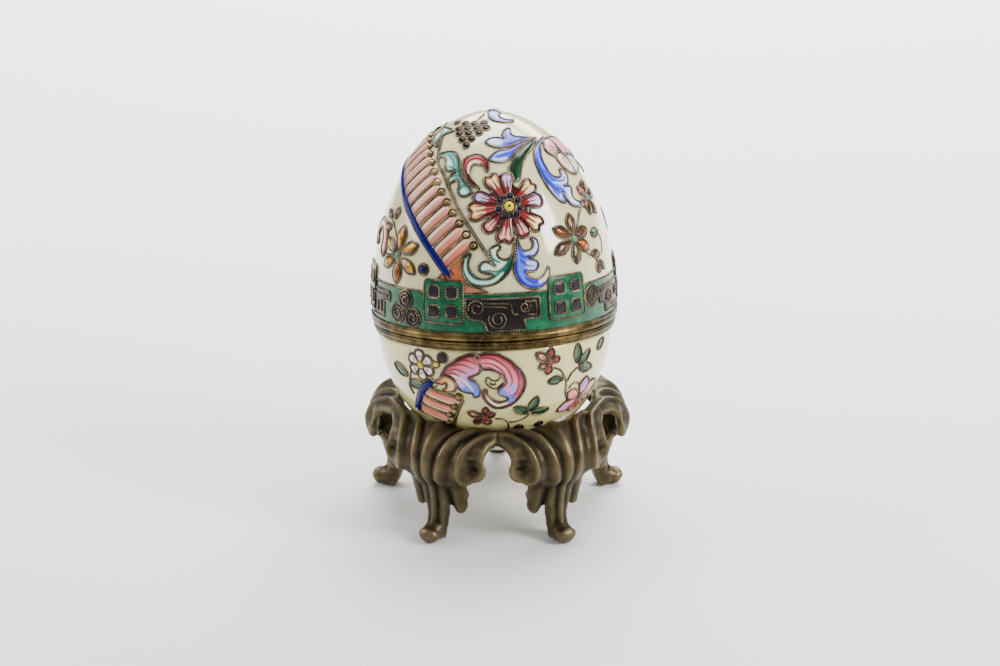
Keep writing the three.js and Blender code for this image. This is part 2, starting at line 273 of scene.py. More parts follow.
# The two halves of the egg's surface
class Shell:
    """One half of the egg. Its outline is radius * (1 - (height / depth) ** shoulder) ** crown."""

    def __init__(self, radius, depth, shoulder, crown, side):
        self.radius = radius
        self.depth = depth
        self.shoulder = shoulder
        self.crown = crown
        self.side = side

    def radius_at(self, height):
        share = np.clip(np.abs(height) / self.depth, 0, 1)
        return self.radius * (1 - share ** self.shoulder) ** self.crown

    def spot(self, azimuth, height):
        turn = np.radians(azimuth)
        radius = self.radius_at(height)
        return np.stack([radius * np.sin(turn), -radius * np.cos(turn), height + 0 * radius], -1)

    def level(self, points):
        """How far outside the outline points are, as a share, and which way that grows."""
        flat = np.maximum(np.hypot(points[..., 0], points[..., 1]), 1e-6)
        high = np.maximum(self.side * points[..., 2], 0) / self.depth
        power = 1 / self.crown
        value = (flat / self.radius) ** power + high ** self.shoulder - 1
        pull = power * (flat / self.radius) ** (power - 1) / self.radius / flat
        rise = self.side * self.shoulder * high ** (self.shoulder - 1) / self.depth
        return value, np.stack([pull * points[..., 0], pull * points[..., 1], rise], -1)

    def settle(self, points, way=None):
        """Points moved onto the outline, along one way or straight out, with their outward directions."""
        for _ in range(8):
            value, slope = self.level(points)
            along = unit(slope) if way is None else way
            reach = np.maximum((slope * along).sum(-1), 1e-3)
            points = points - (value / reach)[..., None] * along
        return points, unit(self.level(points)[1])


LID = Shell(LID_RADIUS, LID_HEIGHT, 2.47, 0.558, 1)
BOWL = Shell(BOWL_RADIUS, BOWL_DEPTH, 2, 0.5, -1)


class Tangent:
    """Millimetres sideways and up from a place on a shell, laid on its surface."""

    def __init__(self, shell, azimuth, height):
        self.shell = shell
        self.origin, self.out = shell.settle(shell.spot(azimuth, height))
        turn = math.radians(azimuth)
        self.east = np.array([math.cos(turn), math.sin(turn), 0])
        self.up = np.cross(self.out, self.east)

    def surface(self, flat):
        points = self.origin + flat[:, :1] * self.east + flat[:, 1:2] * self.up
        return self.shell.settle(points, self.out)


class Girdle:
    """Millimetres round a shell from an azimuth, and heights from the seam."""

    def __init__(self, shell, azimuth=0.0):
        self.shell = shell
        self.azimuth = azimuth

    def surface(self, flat):
        azimuth = self.azimuth + np.degrees(flat[:, 0] / self.shell.radius)
        return self.shell.settle(self.shell.spot(azimuth, flat[:, 1]))


# Pieces
class Piece:
    """Shapes in the egg's frame that become one object."""

    def __init__(self, place=from_egg):
        self.place = place
        self.points = []
        self.faces = []
        self.tints = []
        self.count = 0

    def add(self, points, faces, tint=WHITE):
        points = np.asarray(points, float)
        if isinstance(faces, np.ndarray):
            faces = faces.tolist()
        self.faces.extend([corner + self.count for corner in face] for face in faces)
        self.points.append(points)
        self.tints.append(np.broadcast_to(tint, points.shape))
        self.count += len(points)

    def make(self, name, material, slot, *replaced):
        points = self.place(np.vstack(self.points)) * MM
        mesh = bpy.data.meshes.new(name)
        mesh.from_pydata(points.tolist(), [], self.faces)
        finish_piece(name, mesh, np.vstack(self.tints), material, slot, *replaced)


def in_scene(name, data):
    """A new object in the scene."""
    made = bpy.data.objects.new(name, data)
    bpy.context.scene.collection.objects.link(made)
    return made


def finish_piece(name, mesh, tints, material, slot, *replaced):
    """Gives a mesh its looks, lets it ride on the part and hides the solids it stands for."""
    layer = mesh.color_attributes.new("Tint", "FLOAT_COLOR", "POINT")
    layer.data.foreach_set("color", np.hstack([tints, np.ones((len(tints), 1))]).astype(np.float32).ravel())
    mesh.polygons.foreach_set("use_smooth", [True] * len(mesh.polygons))
    mesh.materials.append(material)
    mesh.update()
    piece = in_scene(name, mesh)
    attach(piece, "root")
    for node in replaced:
        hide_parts(node)


def grid_faces(rows, columns, wrap_rows=False, wrap_columns=False):
    """Quads between the points of a grid, counted row by row."""
    i = np.arange(rows if wrap_rows else rows - 1)[:, None]
    j = np.arange(columns if wrap_columns else columns - 1)[None]
    down, right = (i + 1) % rows, (j + 1) % columns
    corners = [i * columns + j, down * columns + j, down * columns + right, i * columns + right]
    return np.stack([c + 0 * (i + j) for c in corners], -1).reshape(-1, 4)


def tube(piece, centres, normals, radii, sides=6, closed=False, tint=WHITE, flatten=1.0):
    """A tube along points on a surface. Its section is flattened along the surface's outward direction."""
    if closed:
        forward = np.roll(centres, -1, axis=0) - np.roll(centres, 1, axis=0)
    else:
        forward = np.gradient(centres, axis=0)
    forward = unit(forward)
    aside = unit(np.cross(forward, normals))
    up = np.cross(aside, forward) * flatten
    angle = np.linspace(0, 2 * np.pi, sides, endpoint=False)[None, :, None]
    radii = np.broadcast_to(radii, len(centres))[:, None, None]
    ring = centres[:, None] + radii * (np.cos(angle) * aside[:, None] + np.sin(angle) * up[:, None])
    faces = grid_faces(len(centres), sides, closed, True).tolist()
    if not closed:
        last = (len(centres) - 1) * sides
        faces.append(list(range(sides)))
        faces.append([last + sides - 1 - i for i in range(sides)])
    if not np.isscalar(tint) and np.ndim(tint) == 2:
        tint = np.repeat(tint, sides, axis=0)
    piece.add(ring.reshape(-1, 3), faces, tint)


def bead_radii(count, radius):
    """Radii of a beaded wire: each bead has one narrow section and two wide ones."""
    return radius * np.resize([0.55, 1.0, 1.0], count)


def painted_bead_shade(count):
    """Tints of a beaded wire: painted shade, dark in the crevices between its beads."""
    return np.resize([[0.1, 0.09, 0.08], [1.0, 1.0, 1.0], [0.9, 0.9, 0.9]], (count, 3))


def beaded(piece, patch, path, closed=False, radius=WIRE_RADIUS, rise=0.1):
    """A beaded wire along a path on a patch of the egg."""
    path = even(path, BEAD_PITCH / 3, closed, 3)
    points, out = patch.surface(path)
    tube(piece, points + out * rise, out, bead_radii(len(path), radius), 5, closed, painted_bead_shade(len(path)))


def wall_faces(loop, count):
    """Walls from a loop of corners to the corners counted on from a number, and the floor between those."""
    size = len(loop)
    walls = [[loop[(k + 1) % size], loop[k], count + k, count + (k + 1) % size] for k in range(size)]
    return walls + [[count + size - 1 - k for k in range(size)]]


def cell(piece, patch, outline, tint, base=0.05, dome=0.12, spacing=CELL_GRID, fall=0.45, bed=-0.25):
    """A filled cell of enamel: a slightly domed face with walls that reach down into the shell."""
    flat, faces, depth = fill(even(outline, spacing, True), spacing)
    points, out = patch.surface(flat)
    rise = base + dome * (1 - np.exp(-depth / fall))
    top = points + out * rise[:, None]
    shade = tint(flat, depth) if callable(tint) else np.broadcast_to(tint, top.shape)
    all_faces = faces.tolist()
    below, below_tint, count = [top], [shade], len(top)
    for loop in edge_loops(faces):
        below.append(points[loop] + out[loop] * bed)
        below_tint.append(shade[loop])
        all_faces += wall_faces(loop, count)
        count += len(loop)
    piece.add(np.vstack(below), all_faces, np.vstack(below_tint))


def turned_on(piece, patch, centre, profile, sides, tint):
    """A small turned solid that stands on the egg, from (radius, rise) points from its foot to its top."""
    profile = np.asarray(profile, float)
    ring = circle((0, 0), 1, sides)
    flat = (np.asarray(centre, float) + profile[:, None, :1] * ring[None]).reshape(-1, 2)
    points, out = patch.surface(flat)
    points = points + out * np.repeat(profile[:, 1], sides)[:, None]
    faces = grid_faces(len(profile), sides, False, True)[:, ::-1].tolist()
    last = (len(profile) - 1) * sides
    faces.append([sides - 1 - i for i in range(sides)])
    faces.append([last + i for i in range(sides)])
    piece.add(points, faces, tint)


def dome(piece, patch, centre, radius, height, tint, sides=14, foot=-0.2):
    angles = np.radians([0, 22, 45, 66, 84])
    profile = [(radius, foot), *[(radius * math.cos(a), height * math.sin(a)) for a in angles]]
    turned_on(piece, patch, centre, profile, sides, tint)


def collar(piece, patch, centre, radius, thickness, rise=0.1):
    """A plain wire ring round a bead or jewel."""
    points, out = patch.surface(circle(centre, radius, 18))
    tube(piece, points + out * rise, out, thickness, 6, True)


# Materials
class Shader:
    """A node material for one finish."""

    def __init__(self, name, **sockets):
        self.material = bpy.data.materials.new(name)
        self.material.use_nodes = True
        self.tree = self.material.node_tree
        self.surface = self.tree.nodes["Principled BSDF"]
        for socket, value in sockets.items():
            self.surface.inputs[socket.replace("_", " ").title().replace("Ior", "IOR")].default_value = value
        self.place = self.node("TexCoord").outputs["Object"]

    def node(self, kind, **settings):
        made = self.tree.nodes.new("ShaderNode" + kind)
        for name, value in settings.items():
            setattr(made, name, value)
        return made

    def set(self, socket, source):
        self.tree.links.new(source, self.surface.inputs[socket])

    def feed(self, node, **sources):
        for name, source in sources.items():
            numbered = name[0] == "i" and name[1:].isdigit()
            socket = node.inputs[int(name[1:]) if numbered else name]
            if isinstance(source, bpy.types.NodeSocket):
                self.tree.links.new(source, socket)
            else:
                socket.default_value = source
        return node

    def grain(self, size, detail=3.0, rough=0.55):
        """Noise whose features have a size in millimetres."""
        made = self.feed(self.node("TexNoise"), Vector=self.place, Scale=1 / (size * MM), Detail=detail,
                         Roughness=rough)
        return made.outputs["Fac"]

    def spread(self, source, low, high, start=0.0, end=1.0):
        """A value stretched from one range to another."""
        made = self.node("MapRange")
        self.feed(made, i0=source, i1=low, i2=high, i3=start, i4=end)
        return made.outputs["Result"]

    def blend(self, share, first, second, mode="MIX"):
        made = self.node("Mix", data_type="RGBA", blend_type=mode)
        self.feed(made, i0=share, i6=colour_of(first), i7=colour_of(second))
        return made.outputs[2]

    def attribute(self, name):
        return self.node("Attribute", attribute_name=name)

    def bump(self, height, depth, strength=1.0):
        """Fine relief of a depth in millimetres."""
        made = self.feed(self.node("Bump"), Strength=strength, Distance=depth * MM, Height=height)
        self.set("Normal", made.outputs["Normal"])
        return made


def colour_of(value):
    """A colour for a socket, from a linear colour or another socket."""
    if isinstance(value, bpy.types.NodeSocket):
        return value
    return (*[float(v) for v in value], 1.0)


def enamel_finish(name, roughness, stain, stain_share, gloss=0.15, shine=0.28):
    """Fired enamel: its painted tint with faint clouding, under a glassy surface that isn't quite level."""
    shader = Shader(name, coat_weight=gloss, coat_roughness=0.06, specular_ior_level=shine)
    tint = shader.attribute("Tint").outputs["Color"]
    cloud = shader.spread(shader.grain(2.6, 4), 0.35, 0.7)
    clouded = shader.blend(shader.spread(cloud, 0, 1, 0, stain_share), tint, stain, "MULTIPLY")
    speck = shader.spread(shader.grain(0.35, 2), 0.66, 0.74)
    shader.set("Base Color", shader.blend(shader.spread(speck, 0, 1, 0, 0.25), clouded, stain, "MULTIPLY"))
    shader.set("Roughness", shader.spread(shader.grain(1.2, 2), 0.3, 0.7, roughness * 0.7, roughness * 1.4))
    shader.bump(shader.grain(2.4, 2), 0.11, 0.6)
    return shader.material


def metal_finish(name, dark, light, roughness, grain=0.5, tarnish=0.5):
    """Gilt wire and rims: bright where rubbed, brown where tarnished, in random patches, times each piece's
    tint, which on beaded wire carries painted shade between the beads.
    """
    shader = Shader(name, metallic=1.0)
    patch = shader.spread(shader.grain(grain * 6, 4), 0.5 - tarnish / 4, 0.72)
    fine = shader.spread(shader.grain(grain, 3), 0.35, 0.75)
    share = shader.feed(shader.node("Math", operation="MULTIPLY_ADD"), i0=fine, i1=0.45, i2=0.0).outputs[0]
    worn = shader.feed(shader.node("Math", operation="MAXIMUM"), i0=patch, i1=share).outputs[0]
    tint = shader.attribute("Tint").outputs["Color"]
    metal = shader.blend(worn, dark, light)
    shader.set("Base Color", shader.blend(1.0, metal, tint, "MULTIPLY"))
    shader.set("Roughness", shader.spread(fine, 0, 1, roughness * 1.35, roughness * 0.8))
    shader.bump(shader.grain(grain, 3), 0.02, 0.5)
    return shader.material


def jewel_finish():
    """Amber glass in its cells."""
    shader = Shader("amber_glass", coat_weight=0.12, coat_roughness=0.03, specular_ior_level=0.3, ior=1.5)
    tint = shader.attribute("Tint").outputs["Color"]
    swirl = shader.spread(shader.grain(1.1, 3), 0.4, 0.56)
    shader.set("Base Color", shader.blend(swirl, shader.blend(0.85, tint, UMBER), tint))
    shader.set("Roughness", shader.spread(swirl, 0, 1, 0.16, 0.05))
    shader.bump(shader.grain(0.8, 1), 0.12, 0.8)
    return shader.material


ENAMEL = enamel_finish("fired_enamel", 0.2, (0.7, 0.64, 0.5), 0.2, 0.85)
PAINTED = enamel_finish("painted_enamel", 0.17, (0.62, 0.54, 0.46), 0.15)
GREEN_GLAZE = enamel_finish("green_glaze", 0.22, (0.5, 0.7, 0.6), 0.25)
DARK_GLAZE = enamel_finish("dark_glaze", 0.3, (0.5, 0.42, 0.4), 0.6, 0.1, 0.2)
FILIGREE = metal_finish("filigree_wire", (0.034, 0.025, 0.016), (0.36, 0.28, 0.18), 0.3, 0.45, 0.4)
GILT = metal_finish("gilt_rim", (0.025, 0.018, 0.008), (0.26, 0.19, 0.085), 0.32, 0.6, 0.4)
BRIGHT_GILT = metal_finish("rubbed_gilt", (0.08, 0.058, 0.028), (0.6, 0.47, 0.26), 0.28, 0.6, 0.3)
COBALT_GLAZE = enamel_finish("cobalt_glaze", 0.12, (0.6, 0.6, 0.7), 0.2, 0.0, 0.1)
AMBER_GLASS = jewel_finish()


# Shells and rims
def revolved(piece, profile, segments, tint=WHITE):
    """A turned solid from (radius, height) points round its section, with no empty faces at its poles."""
    profile = np.asarray(profile, float)
    turn = np.linspace(0, 2 * np.pi, segments, endpoint=False)
    ring = np.stack([np.sin(turn), -np.cos(turn)], -1)
    high = np.broadcast_to(profile[:, None, 1:], (len(profile), segments, 1))
    points = np.concatenate([profile[:, None, :1] * ring[None], high], -1).reshape(-1, 3)
    names = np.arange(len(points)).reshape(len(profile), segments)
    names[profile[:, 0] < 1e-6] = names[profile[:, 0] < 1e-6, :1]
    faces = names.ravel()[grid_faces(len(profile), segments, True, True)]
    used = np.unique(faces)
    renamed = np.zeros(len(points), int)
    renamed[used] = np.arange(len(used))
    kept = [list(dict.fromkeys(face)) for face in renamed[faces].tolist()]
    points = points[used]
    piece.add(points, [face for face in kept if len(face) > 2], tint(points) if callable(tint) else tint)


def poleward(start, end, steps):
    """Heights that get closer towards the pole."""
    return start + (end - start) * np.sin(np.linspace(0, np.pi / 2, steps))


def shell_profile(shell, edge, steps):
    """Section of a shell with an even wall, from its edge over the pole and back inside."""
    side = shell.side
    inner = Shell(shell.radius - SHELL_WALL, shell.depth - SHELL_WALL, shell.shoulder, shell.crown, side)
    outside = [(shell.radius_at(z), z) for z in poleward(side * edge, side * shell.depth, steps)]
    inside_face = [(inner.radius_at(z), z) for z in poleward(side * edge, side * inner.depth, steps // 3)]
    profile = outside[:-1] + [(0, side * shell.depth), (0, side * inner.depth)] + inside_face[-2::-1]
    return profile if side > 0 else profile[::-1]


def ground_tint(colour, seed):
    """Cream enamel with a faint warm clouding."""
    def tint(points):
        cloud = mottle(points, 9.0, seed)
        return colour * (1 + 0.05 * cloud[:, None] * np.array([0.6, 0.8, 1.4]))
    return tint


def egg_shells():
    lid = Piece()
    revolved(lid, shell_profile(LID, LID_RIM_HEIGHT + REST_GAP, 70), 160, ground_tint(CREAM_LID, 3.0))
    lid.make("lid_enamel_ground", ENAMEL, "lid_enamel", "lid")
    bowl = Piece()
    revolved(bowl, shell_profile(BOWL, BOWL_RIM_HEIGHT + REST_GAP, 48), 160, ground_tint(CREAM_BOWL, 8.0))
    bowl.make("bowl_enamel_ground", ENAMEL, "bowl_enamel", "bowl")


def rims():
    """Moulded gilt rims with a sleeve inside, and a rope of beaded wire along each."""
    sleeve = BOWL_RADIUS - SHELL_WALL - REST_GAP
    half = REST_GAP / 2
    upper = Piece()
    moulding = [(27.02, half), (27.22, 0.32), (27.34, 0.62), (27.36, 0.95), (27.28, 1.25), (27.12, 1.42),
                (27.16, 1.55), (27.24, 1.7), (27.16, LID_RIM_HEIGHT)]
    band = LID.radius_at(LID_COLLAR_TOP) - SHELL_WALL - REST_GAP
    lining = band - LID_COLLAR_WALL
    revolved(upper,
             [(sleeve, half), *moulding, (band, LID_RIM_HEIGHT), (band, LID_COLLAR_TOP),
              (lining, LID_COLLAR_TOP), (lining, LID_RIM_HEIGHT), (sleeve, LID_RIM_HEIGHT)], 180)
    beaded(upper, Girdle(LID), girdle_path(2.0), True, 0.22, 0.2)
    upper.make("lid_rim_gilt", GILT, "rim_gilt", "lid_rim")
    lower = Piece()
    moulding = [(26.9, -0.15), (26.96, -0.4), (26.72, -0.62), (26.86, -0.85), (26.8, -1.2), (26.6, -1.42),
                (26.62, -1.7)]
    inner = sleeve - REST_GAP
    lining = inner - SLEEVE_WALL
    revolved(lower,
             [(lining, SLEEVE_BOTTOM), (lining, SLEEVE_TOP), (inner, SLEEVE_TOP), (inner, -half), *moulding,
              (inner, -BOWL_RIM_HEIGHT), (inner, SLEEVE_BOTTOM)][::-1], 180)
    beaded(lower, Girdle(BOWL), girdle_path(-1.72), True, 0.22, 0.28)
    beaded(lower, Girdle(BOWL), girdle_path(-0.75), True, 0.17, 0.62)
    lower.make("bowl_rim_gilt", GILT, "rim_gilt", "bowl_rim")


def girdle_path(height):
    """A full turn at a height, as millimetres round the shell."""
    round_trip = np.linspace(0, 2 * np.pi * LID_RADIUS, GIRDLE_STEPS, endpoint=False)
    return np.stack([round_trip, np.full(GIRDLE_STEPS, height)], -1)


# Frieze: an emerald girdle with window blocks and dark fret panels
BLOCK_AZIMUTHS = [36.5 + 60 * i for i in range(6)]
WINDOW_PLACES = [(-2.1, 6.55), (-2.1, 10.75), (2.1, 6.55), (2.1, 10.75)]
PANEL_AZIMUTH = 6.5
PANEL_LAYOUTS = [(0, "fret"), (-60, "left"), (60, "right"), (180, "fret"), (120, "left"), (-120, "right")]


def rounded(width, height, radius, centre=(0, 0)):
    """A rectangle with round corners."""
    corners = []
    for quarter in range(4):
        sign_x = 1 if quarter in (0, 3) else -1
        sign_y = 1 if quarter in (0, 1) else -1
        for angle in np.radians([0, 30, 60, 90]) + quarter * np.pi / 2:
            x = centre[0] + sign_x * (width / 2 - radius) + radius * math.cos(angle)
            y = centre[1] + sign_y * (height / 2 - radius) + radius * math.sin(angle)
            corners.append((x, y))
    return np.array(corners)


def spiral(centre, radius, turns, start, clockwise=1, core=0.3):
    """A spiral that winds in from its radius to a core."""
    share = np.linspace(0, 1, int(24 * turns))
    angle = math.radians(start) - clockwise * share * turns * 2 * np.pi
    reach = radius * (1 - share * (1 - core))
    return np.asarray(centre) + reach[:, None] * np.stack([np.cos(angle), np.sin(angle)], -1)


def glaze_tint(light, middle, dark, seed, size=1.3):
    """Translucent glaze that pools darker along its edges."""
    def tint(flat, depth):
        cloud = mottle(np.hstack([flat, np.zeros((len(flat), 1))]), size, seed)
        colour = ramp(np.clip(0.5 + 0.3 * cloud, 0, 1), [(0, dark), (0.5, middle), (1, light)])
        return mixed(colour, dark, 0.8 * fade(depth, 0.45))
    return tint


def frieze():
    green, dark, wires = Piece(), Piece(), Piece()
    heights = np.linspace(FRIEZE_BOTTOM, FRIEZE_TOP, 32)
    profile = [(LID.radius_at(FRIEZE_TOP) - 0.6, FRIEZE_TOP),
               (LID.radius_at(FRIEZE_BOTTOM) - 0.6, FRIEZE_BOTTOM)]
    profile += [(LID.radius_at(z) + 0.06, z) for z in heights]

    def emerald(points):
        cloud = mottle(points, 1.5, 2.0) + 0.5 * mottle(points, 5.0, 4.0)
        return ramp(np.clip(0.5 + 0.18 * cloud, 0, 1),
                    [(0, EMERALD_DARK), (0.5, EMERALD), (1, EMERALD_LIGHT)])

    revolved(green, profile[::-1], 480, emerald)
    beaded(wires, Girdle(LID), girdle_path(FRIEZE_TOP), True)
    for azimuth in BLOCK_AZIMUTHS:
        patch = Girdle(LID, azimuth)
        plate = rounded(9.4, 9.3, 0.9, (0, 8.65))
        cell(green, patch, plate, glaze_tint(EMERALD_LIGHT, EMERALD, EMERALD_DARK, azimuth), base=0.28,
             dome=0.1)
        beaded(wires, patch, plate, True, rise=0.33)
        for x, y in WINDOW_PLACES:
            window = rounded(2.7, 2.7, 0.75, (x, y))
            dusk = glaze_tint(rgb(84, 70, 80), rgb(58, 46, 56), BLACK, x + y)
            cell(dark, patch, window, dusk, base=0.34, dome=0.16)
            beaded(wires, patch, window, True, rise=0.42)
    for turn, layout in PANEL_LAYOUTS:
        panel(dark, wires, Girdle(LID, PANEL_AZIMUTH + turn), layout)
    green.make("frieze_green_glaze", GREEN_GLAZE, "lid_enamel")
    dark.make("frieze_dark_cells", DARK_GLAZE, "lid_enamel")
    wires.make("frieze_wires", FILIGREE, "lid_enamel")


def panel(dark, wires, patch, layout):
    """Dark cells with scroll wires between two blocks."""
    dusk = glaze_tint(rgb(56, 44, 48), PLUM, BLACK, 5.0, 1.0)
    if layout == "fret":
        outline = [(-9.1, 9.55), (7.2, 9.45), (7.2, 5.0), (3.6, 4.9), (3.9, 2.55), (-4.4, 2.55),
                   (-4.8, 4.0), (-5.6, 4.85), (-7.8, 5.1), (-9.0, 5.9)]
        shapes = [outline]
        scrolls = [((-6.6, 7.5), 1.85, 1.5, 200, 1), ((-2.0, 5.0), 2.15, 1.75, 150, -1),
                   ((3.8, 7.5), 1.25, 1.4, 20, 1)]
        lines = [[(-5.0, 8.6), (-3.2, 8.5), (-0.6, 8.45), (0.7, 8.1), (0.9, 6.9), (1.3, 6.1), (2.4, 6.0)],
                 [(-4.9, 7.9), (-3.0, 7.8), (-0.9, 7.7), (0.1, 7.3)],
                 [(3.8, 8.75), (5.2, 8.6), (6.2, 8.6), (6.2, 5.9), (4.2, 5.9)]]
    elif layout == "left":
        shapes = [circle((4.1, 8.2), 2.05), circle((1.7, 4.9), 2.1), circle((6.4, 4.4), 2.05),
                  [(-10.6, 8.9), (-1.4, 9.0), (-1.4, 6.9), (-3.9, 6.7), (-4.0, 3.1), (-10.6, 3.0)]]
        scrolls = [((4.1, 8.2), 1.5, 1.4, 180, 1), ((1.7, 4.9), 1.6, 1.4, 0, -1),
                   ((6.4, 4.4), 1.55, 1.4, 60, 1)]
        lines = [[(-9.6, 7.8), (-2.4, 7.9)], [(-9.6, 7.8), (-9.6, 4.2), (-7.2, 4.2), (-7.2, 6.4)],
                 [(-5.2, 6.6), (-5.2, 4.0)]]
    else:
        shapes = [circle((-6.7, 7.6), 2.3),
                  [(-4.2, 8.9), (8.6, 8.9), (8.6, 3.1), (-1.0, 3.1), (-1.2, 5.0), (-3.6, 5.4)]]
        scrolls = [((-6.7, 7.6), 1.7, 1.7, 20, -1), ((1.2, 5.9), 1.7, 1.5, 200, 1),
                   ((5.8, 6.4), 1.3, 1.4, 0, -1)]
        lines = [[(-3.4, 7.9), (2.0, 8.1), (4.6, 8.0)], [(6.0, 4.1), (2.6, 4.0)]]
    for shape in shapes:
        shape = even(np.asarray(shape, float), 0.5, True)
        cell(dark, patch, shape, dusk, base=0.1, dome=0.1)
        beaded(wires, patch, shape, True, rise=0.16)
    for centre, radius, turns, start, clockwise in scrolls:
        beaded(wires, patch, spiral(centre, radius, turns, start, clockwise), rise=0.27, radius=0.23)
    for line in lines:
        beaded(wires, patch, smooth(line), rise=0.27, radius=0.23)


# The fluted bands and their cobalt rolls, along lines of (azimuth, height) points
ROLL_RADIUS = 0.8
ROLL_TINT = np.array([0.003, 0.003, 0.09])
ROLL_WIRE_OFFSET = 0.92
FLUTE_RISE = 0.42
BORDER_OFFSETS = (0.0, 0.5)


def shell_curve(shell, places, step=0.25):
    """A smooth line on a shell and its outward directions."""
    places = np.asarray(places, float)
    line = smooth(shell.spot(places[:, 0], places[:, 1]))
    return shell.settle(even(line, step))


def at_share(line, share):
    """Points at shares of a line's length."""
    along = lengths_along(line)
    return np.stack([np.interp(share * along[-1], along, line[:, i]) for i in range(3)], -1)


def wire_line(piece, points, out, radius=WIRE_RADIUS, rise=0.1):
    count = len(points)
    tube(piece, points + out * rise, out, bead_radii(count, radius), 5, tint=painted_bead_shade(count))


def between(shell, first, second, steps):
    """Points on a shell from one place to another."""
    share = np.linspace(0, 1, steps)[:, None]
    return shell.settle(first + (second - first) * share)


def fluted_band(shell, enamel, cobalt, wires, beads, lines, warm):
    """Convex flutes from a cobalt roll to a row of ringed beads, inside a double border of wire."""
    roll_line, roll_out = shell_curve(shell, lines["roll"])
    taper = np.clip(np.minimum(np.arange(len(roll_line)), np.arange(len(roll_line))[::-1]) / 6, 0.35, 1)
    tube(cobalt, roll_line + 0.1 * roll_out, roll_out, ROLL_RADIUS * taper, 14, tint=ROLL_TINT, flatten=0.7)
    aside = unit(np.cross(np.gradient(roll_line, axis=0), roll_out))
    for side in (-1, 1):
        edge, out = shell.settle(even(roll_line + side * ROLL_WIRE_OFFSET * aside, BEAD_PITCH / 3))
        wire_line(wires, edge, out, 0.2, 0.14)
    root, _ = shell_curve(shell, lines["root"])
    tip, _ = shell_curve(shell, lines["tip"])
    across, along = 9, 22
    count = len(warm)
    for i in range(count):
        shares = (i + np.linspace(0.04, 0.96, across)) / count
        start, end = at_share(root, shares), at_share(tip, shares)
        v = np.linspace(0, 1, along)[:, None, None]
        u = np.linspace(-1, 1, across)[None, :, None]
        reach = 1.0 - 0.16 * np.abs(u) ** 2.5
        flat = start[None] + (end - start)[None] * v * reach
        points, out = shell.settle(flat.reshape(-1, 3))
        crown = np.sqrt(np.clip(1 - (0.96 * u) ** 2, 0, 1)) * np.clip((1.03 - v) / 0.1, 0, 1) ** 0.5
        rise = 0.06 + FLUTE_RISE * crown * np.clip(0.35 + v * 3, 0, 1)
        points = points + out * rise.reshape(-1, 1)
        shade = flute_tint(u[0, :, 0], v[:, 0, 0], warm[i])
        closed_sheet(enamel, shell, points, (along, across), shade)
    for i in range(count + 1):
        share = i / count
        foot, head = at_share(root, share), at_share(tip, share)
        line, out = between(shell, foot, head, max(6, 3 * round(np.linalg.norm(head - foot) / BEAD_PITCH)))
        wire_line(beads, line[:-4], out[:-4], 0.28, 0.26)
        ringed_bead(beads, wires, shell, head)
    for offset in BORDER_OFFSETS:
        border, out = shell_curve(shell, lines["border"], BEAD_PITCH / 3)
        aside = unit(np.cross(np.gradient(border, axis=0), out))
        border, out = shell.settle(border + offset * aside)
        wire_line(wires, border, out, 0.23, 0.14)


def flute_tint(u, v, warm):
    """Tints of one flute: tan root, rosy body, paler tip, painted highlights on its upper side and painted
    shade at its edges.
    """
    u, v = np.meshgrid(u, v)
    body = ramp(v,
                [(0, TAN), (0.14, warm), (0.6, mixed(warm, ROSE, 0.2)), (1, mixed(warm, PALE_ROSE, 0.5))])
    # Painted highlights: a white line along the flute's upper side and a pale rose line beside it.
    body = mixed(body, WHITE, 0.9 * fade(np.abs(u - 0.42), 0.3) * np.clip(v * 4, 0, 1))
    body = mixed(body, PALE_ROSE, 0.6 * fade(np.abs(u + 0.2), 0.2) * np.clip(v * 3, 0, 1))
    # Painted shade along both edges of the flute, darker and wider on the lower one.
    body = mixed(body, rgb(120, 78, 62), 0.9 * fade(np.abs(u + 1.0), 0.5))
    return mixed(body, rgb(150, 110, 90), 0.8 * fade(np.abs(u - 1.0), 0.3)).reshape(-1, 3)


def closed_sheet(piece, shell, points, shape, tint, bed=0.3):
    """A raised sheet of grid points closed by walls and a floor inside the shell."""
    rows, columns = shape
    names = np.arange(rows * columns).reshape(rows, columns)
    loop = np.concatenate([names[0, :-1], names[:-1, -1], names[-1, :0:-1], names[:0:-1, 0]])
    foot, out = shell.settle(points[loop])
    faces = grid_faces(rows, columns)[:, ::-1]
    orient = np.cross(points[1] - points[0], points[columns] - points[0]) @ out[0]
    if orient < 0:
        faces = faces[:, ::-1]
        loop = loop[::-1]
        foot, out = foot[::-1], out[::-1]
    all_faces = faces.tolist() + wall_faces(loop.tolist(), len(points))
    piece.add(np.vstack([points, foot - out * bed]), all_faces, np.vstack([tint, tint[loop]]))


class Spot(Tangent):
    """A patch of the egg round one point of its surface."""

    def __init__(self, shell, point):
        self.shell = shell
        self.origin, self.out = shell.settle(np.asarray(point, float))
        self.east = unit(np.cross(np.array([0, 0, 1.0]), self.out))
        self.up = np.cross(self.out, self.east)


def ringed_bead(beads, wires, shell, point):
    patch = Spot(shell, point)
    dome(beads, patch, (0, 0), 0.72, 0.75, WHITE)
    collar(wires, patch, (0, 0), 0.9, 0.2, 0.2)


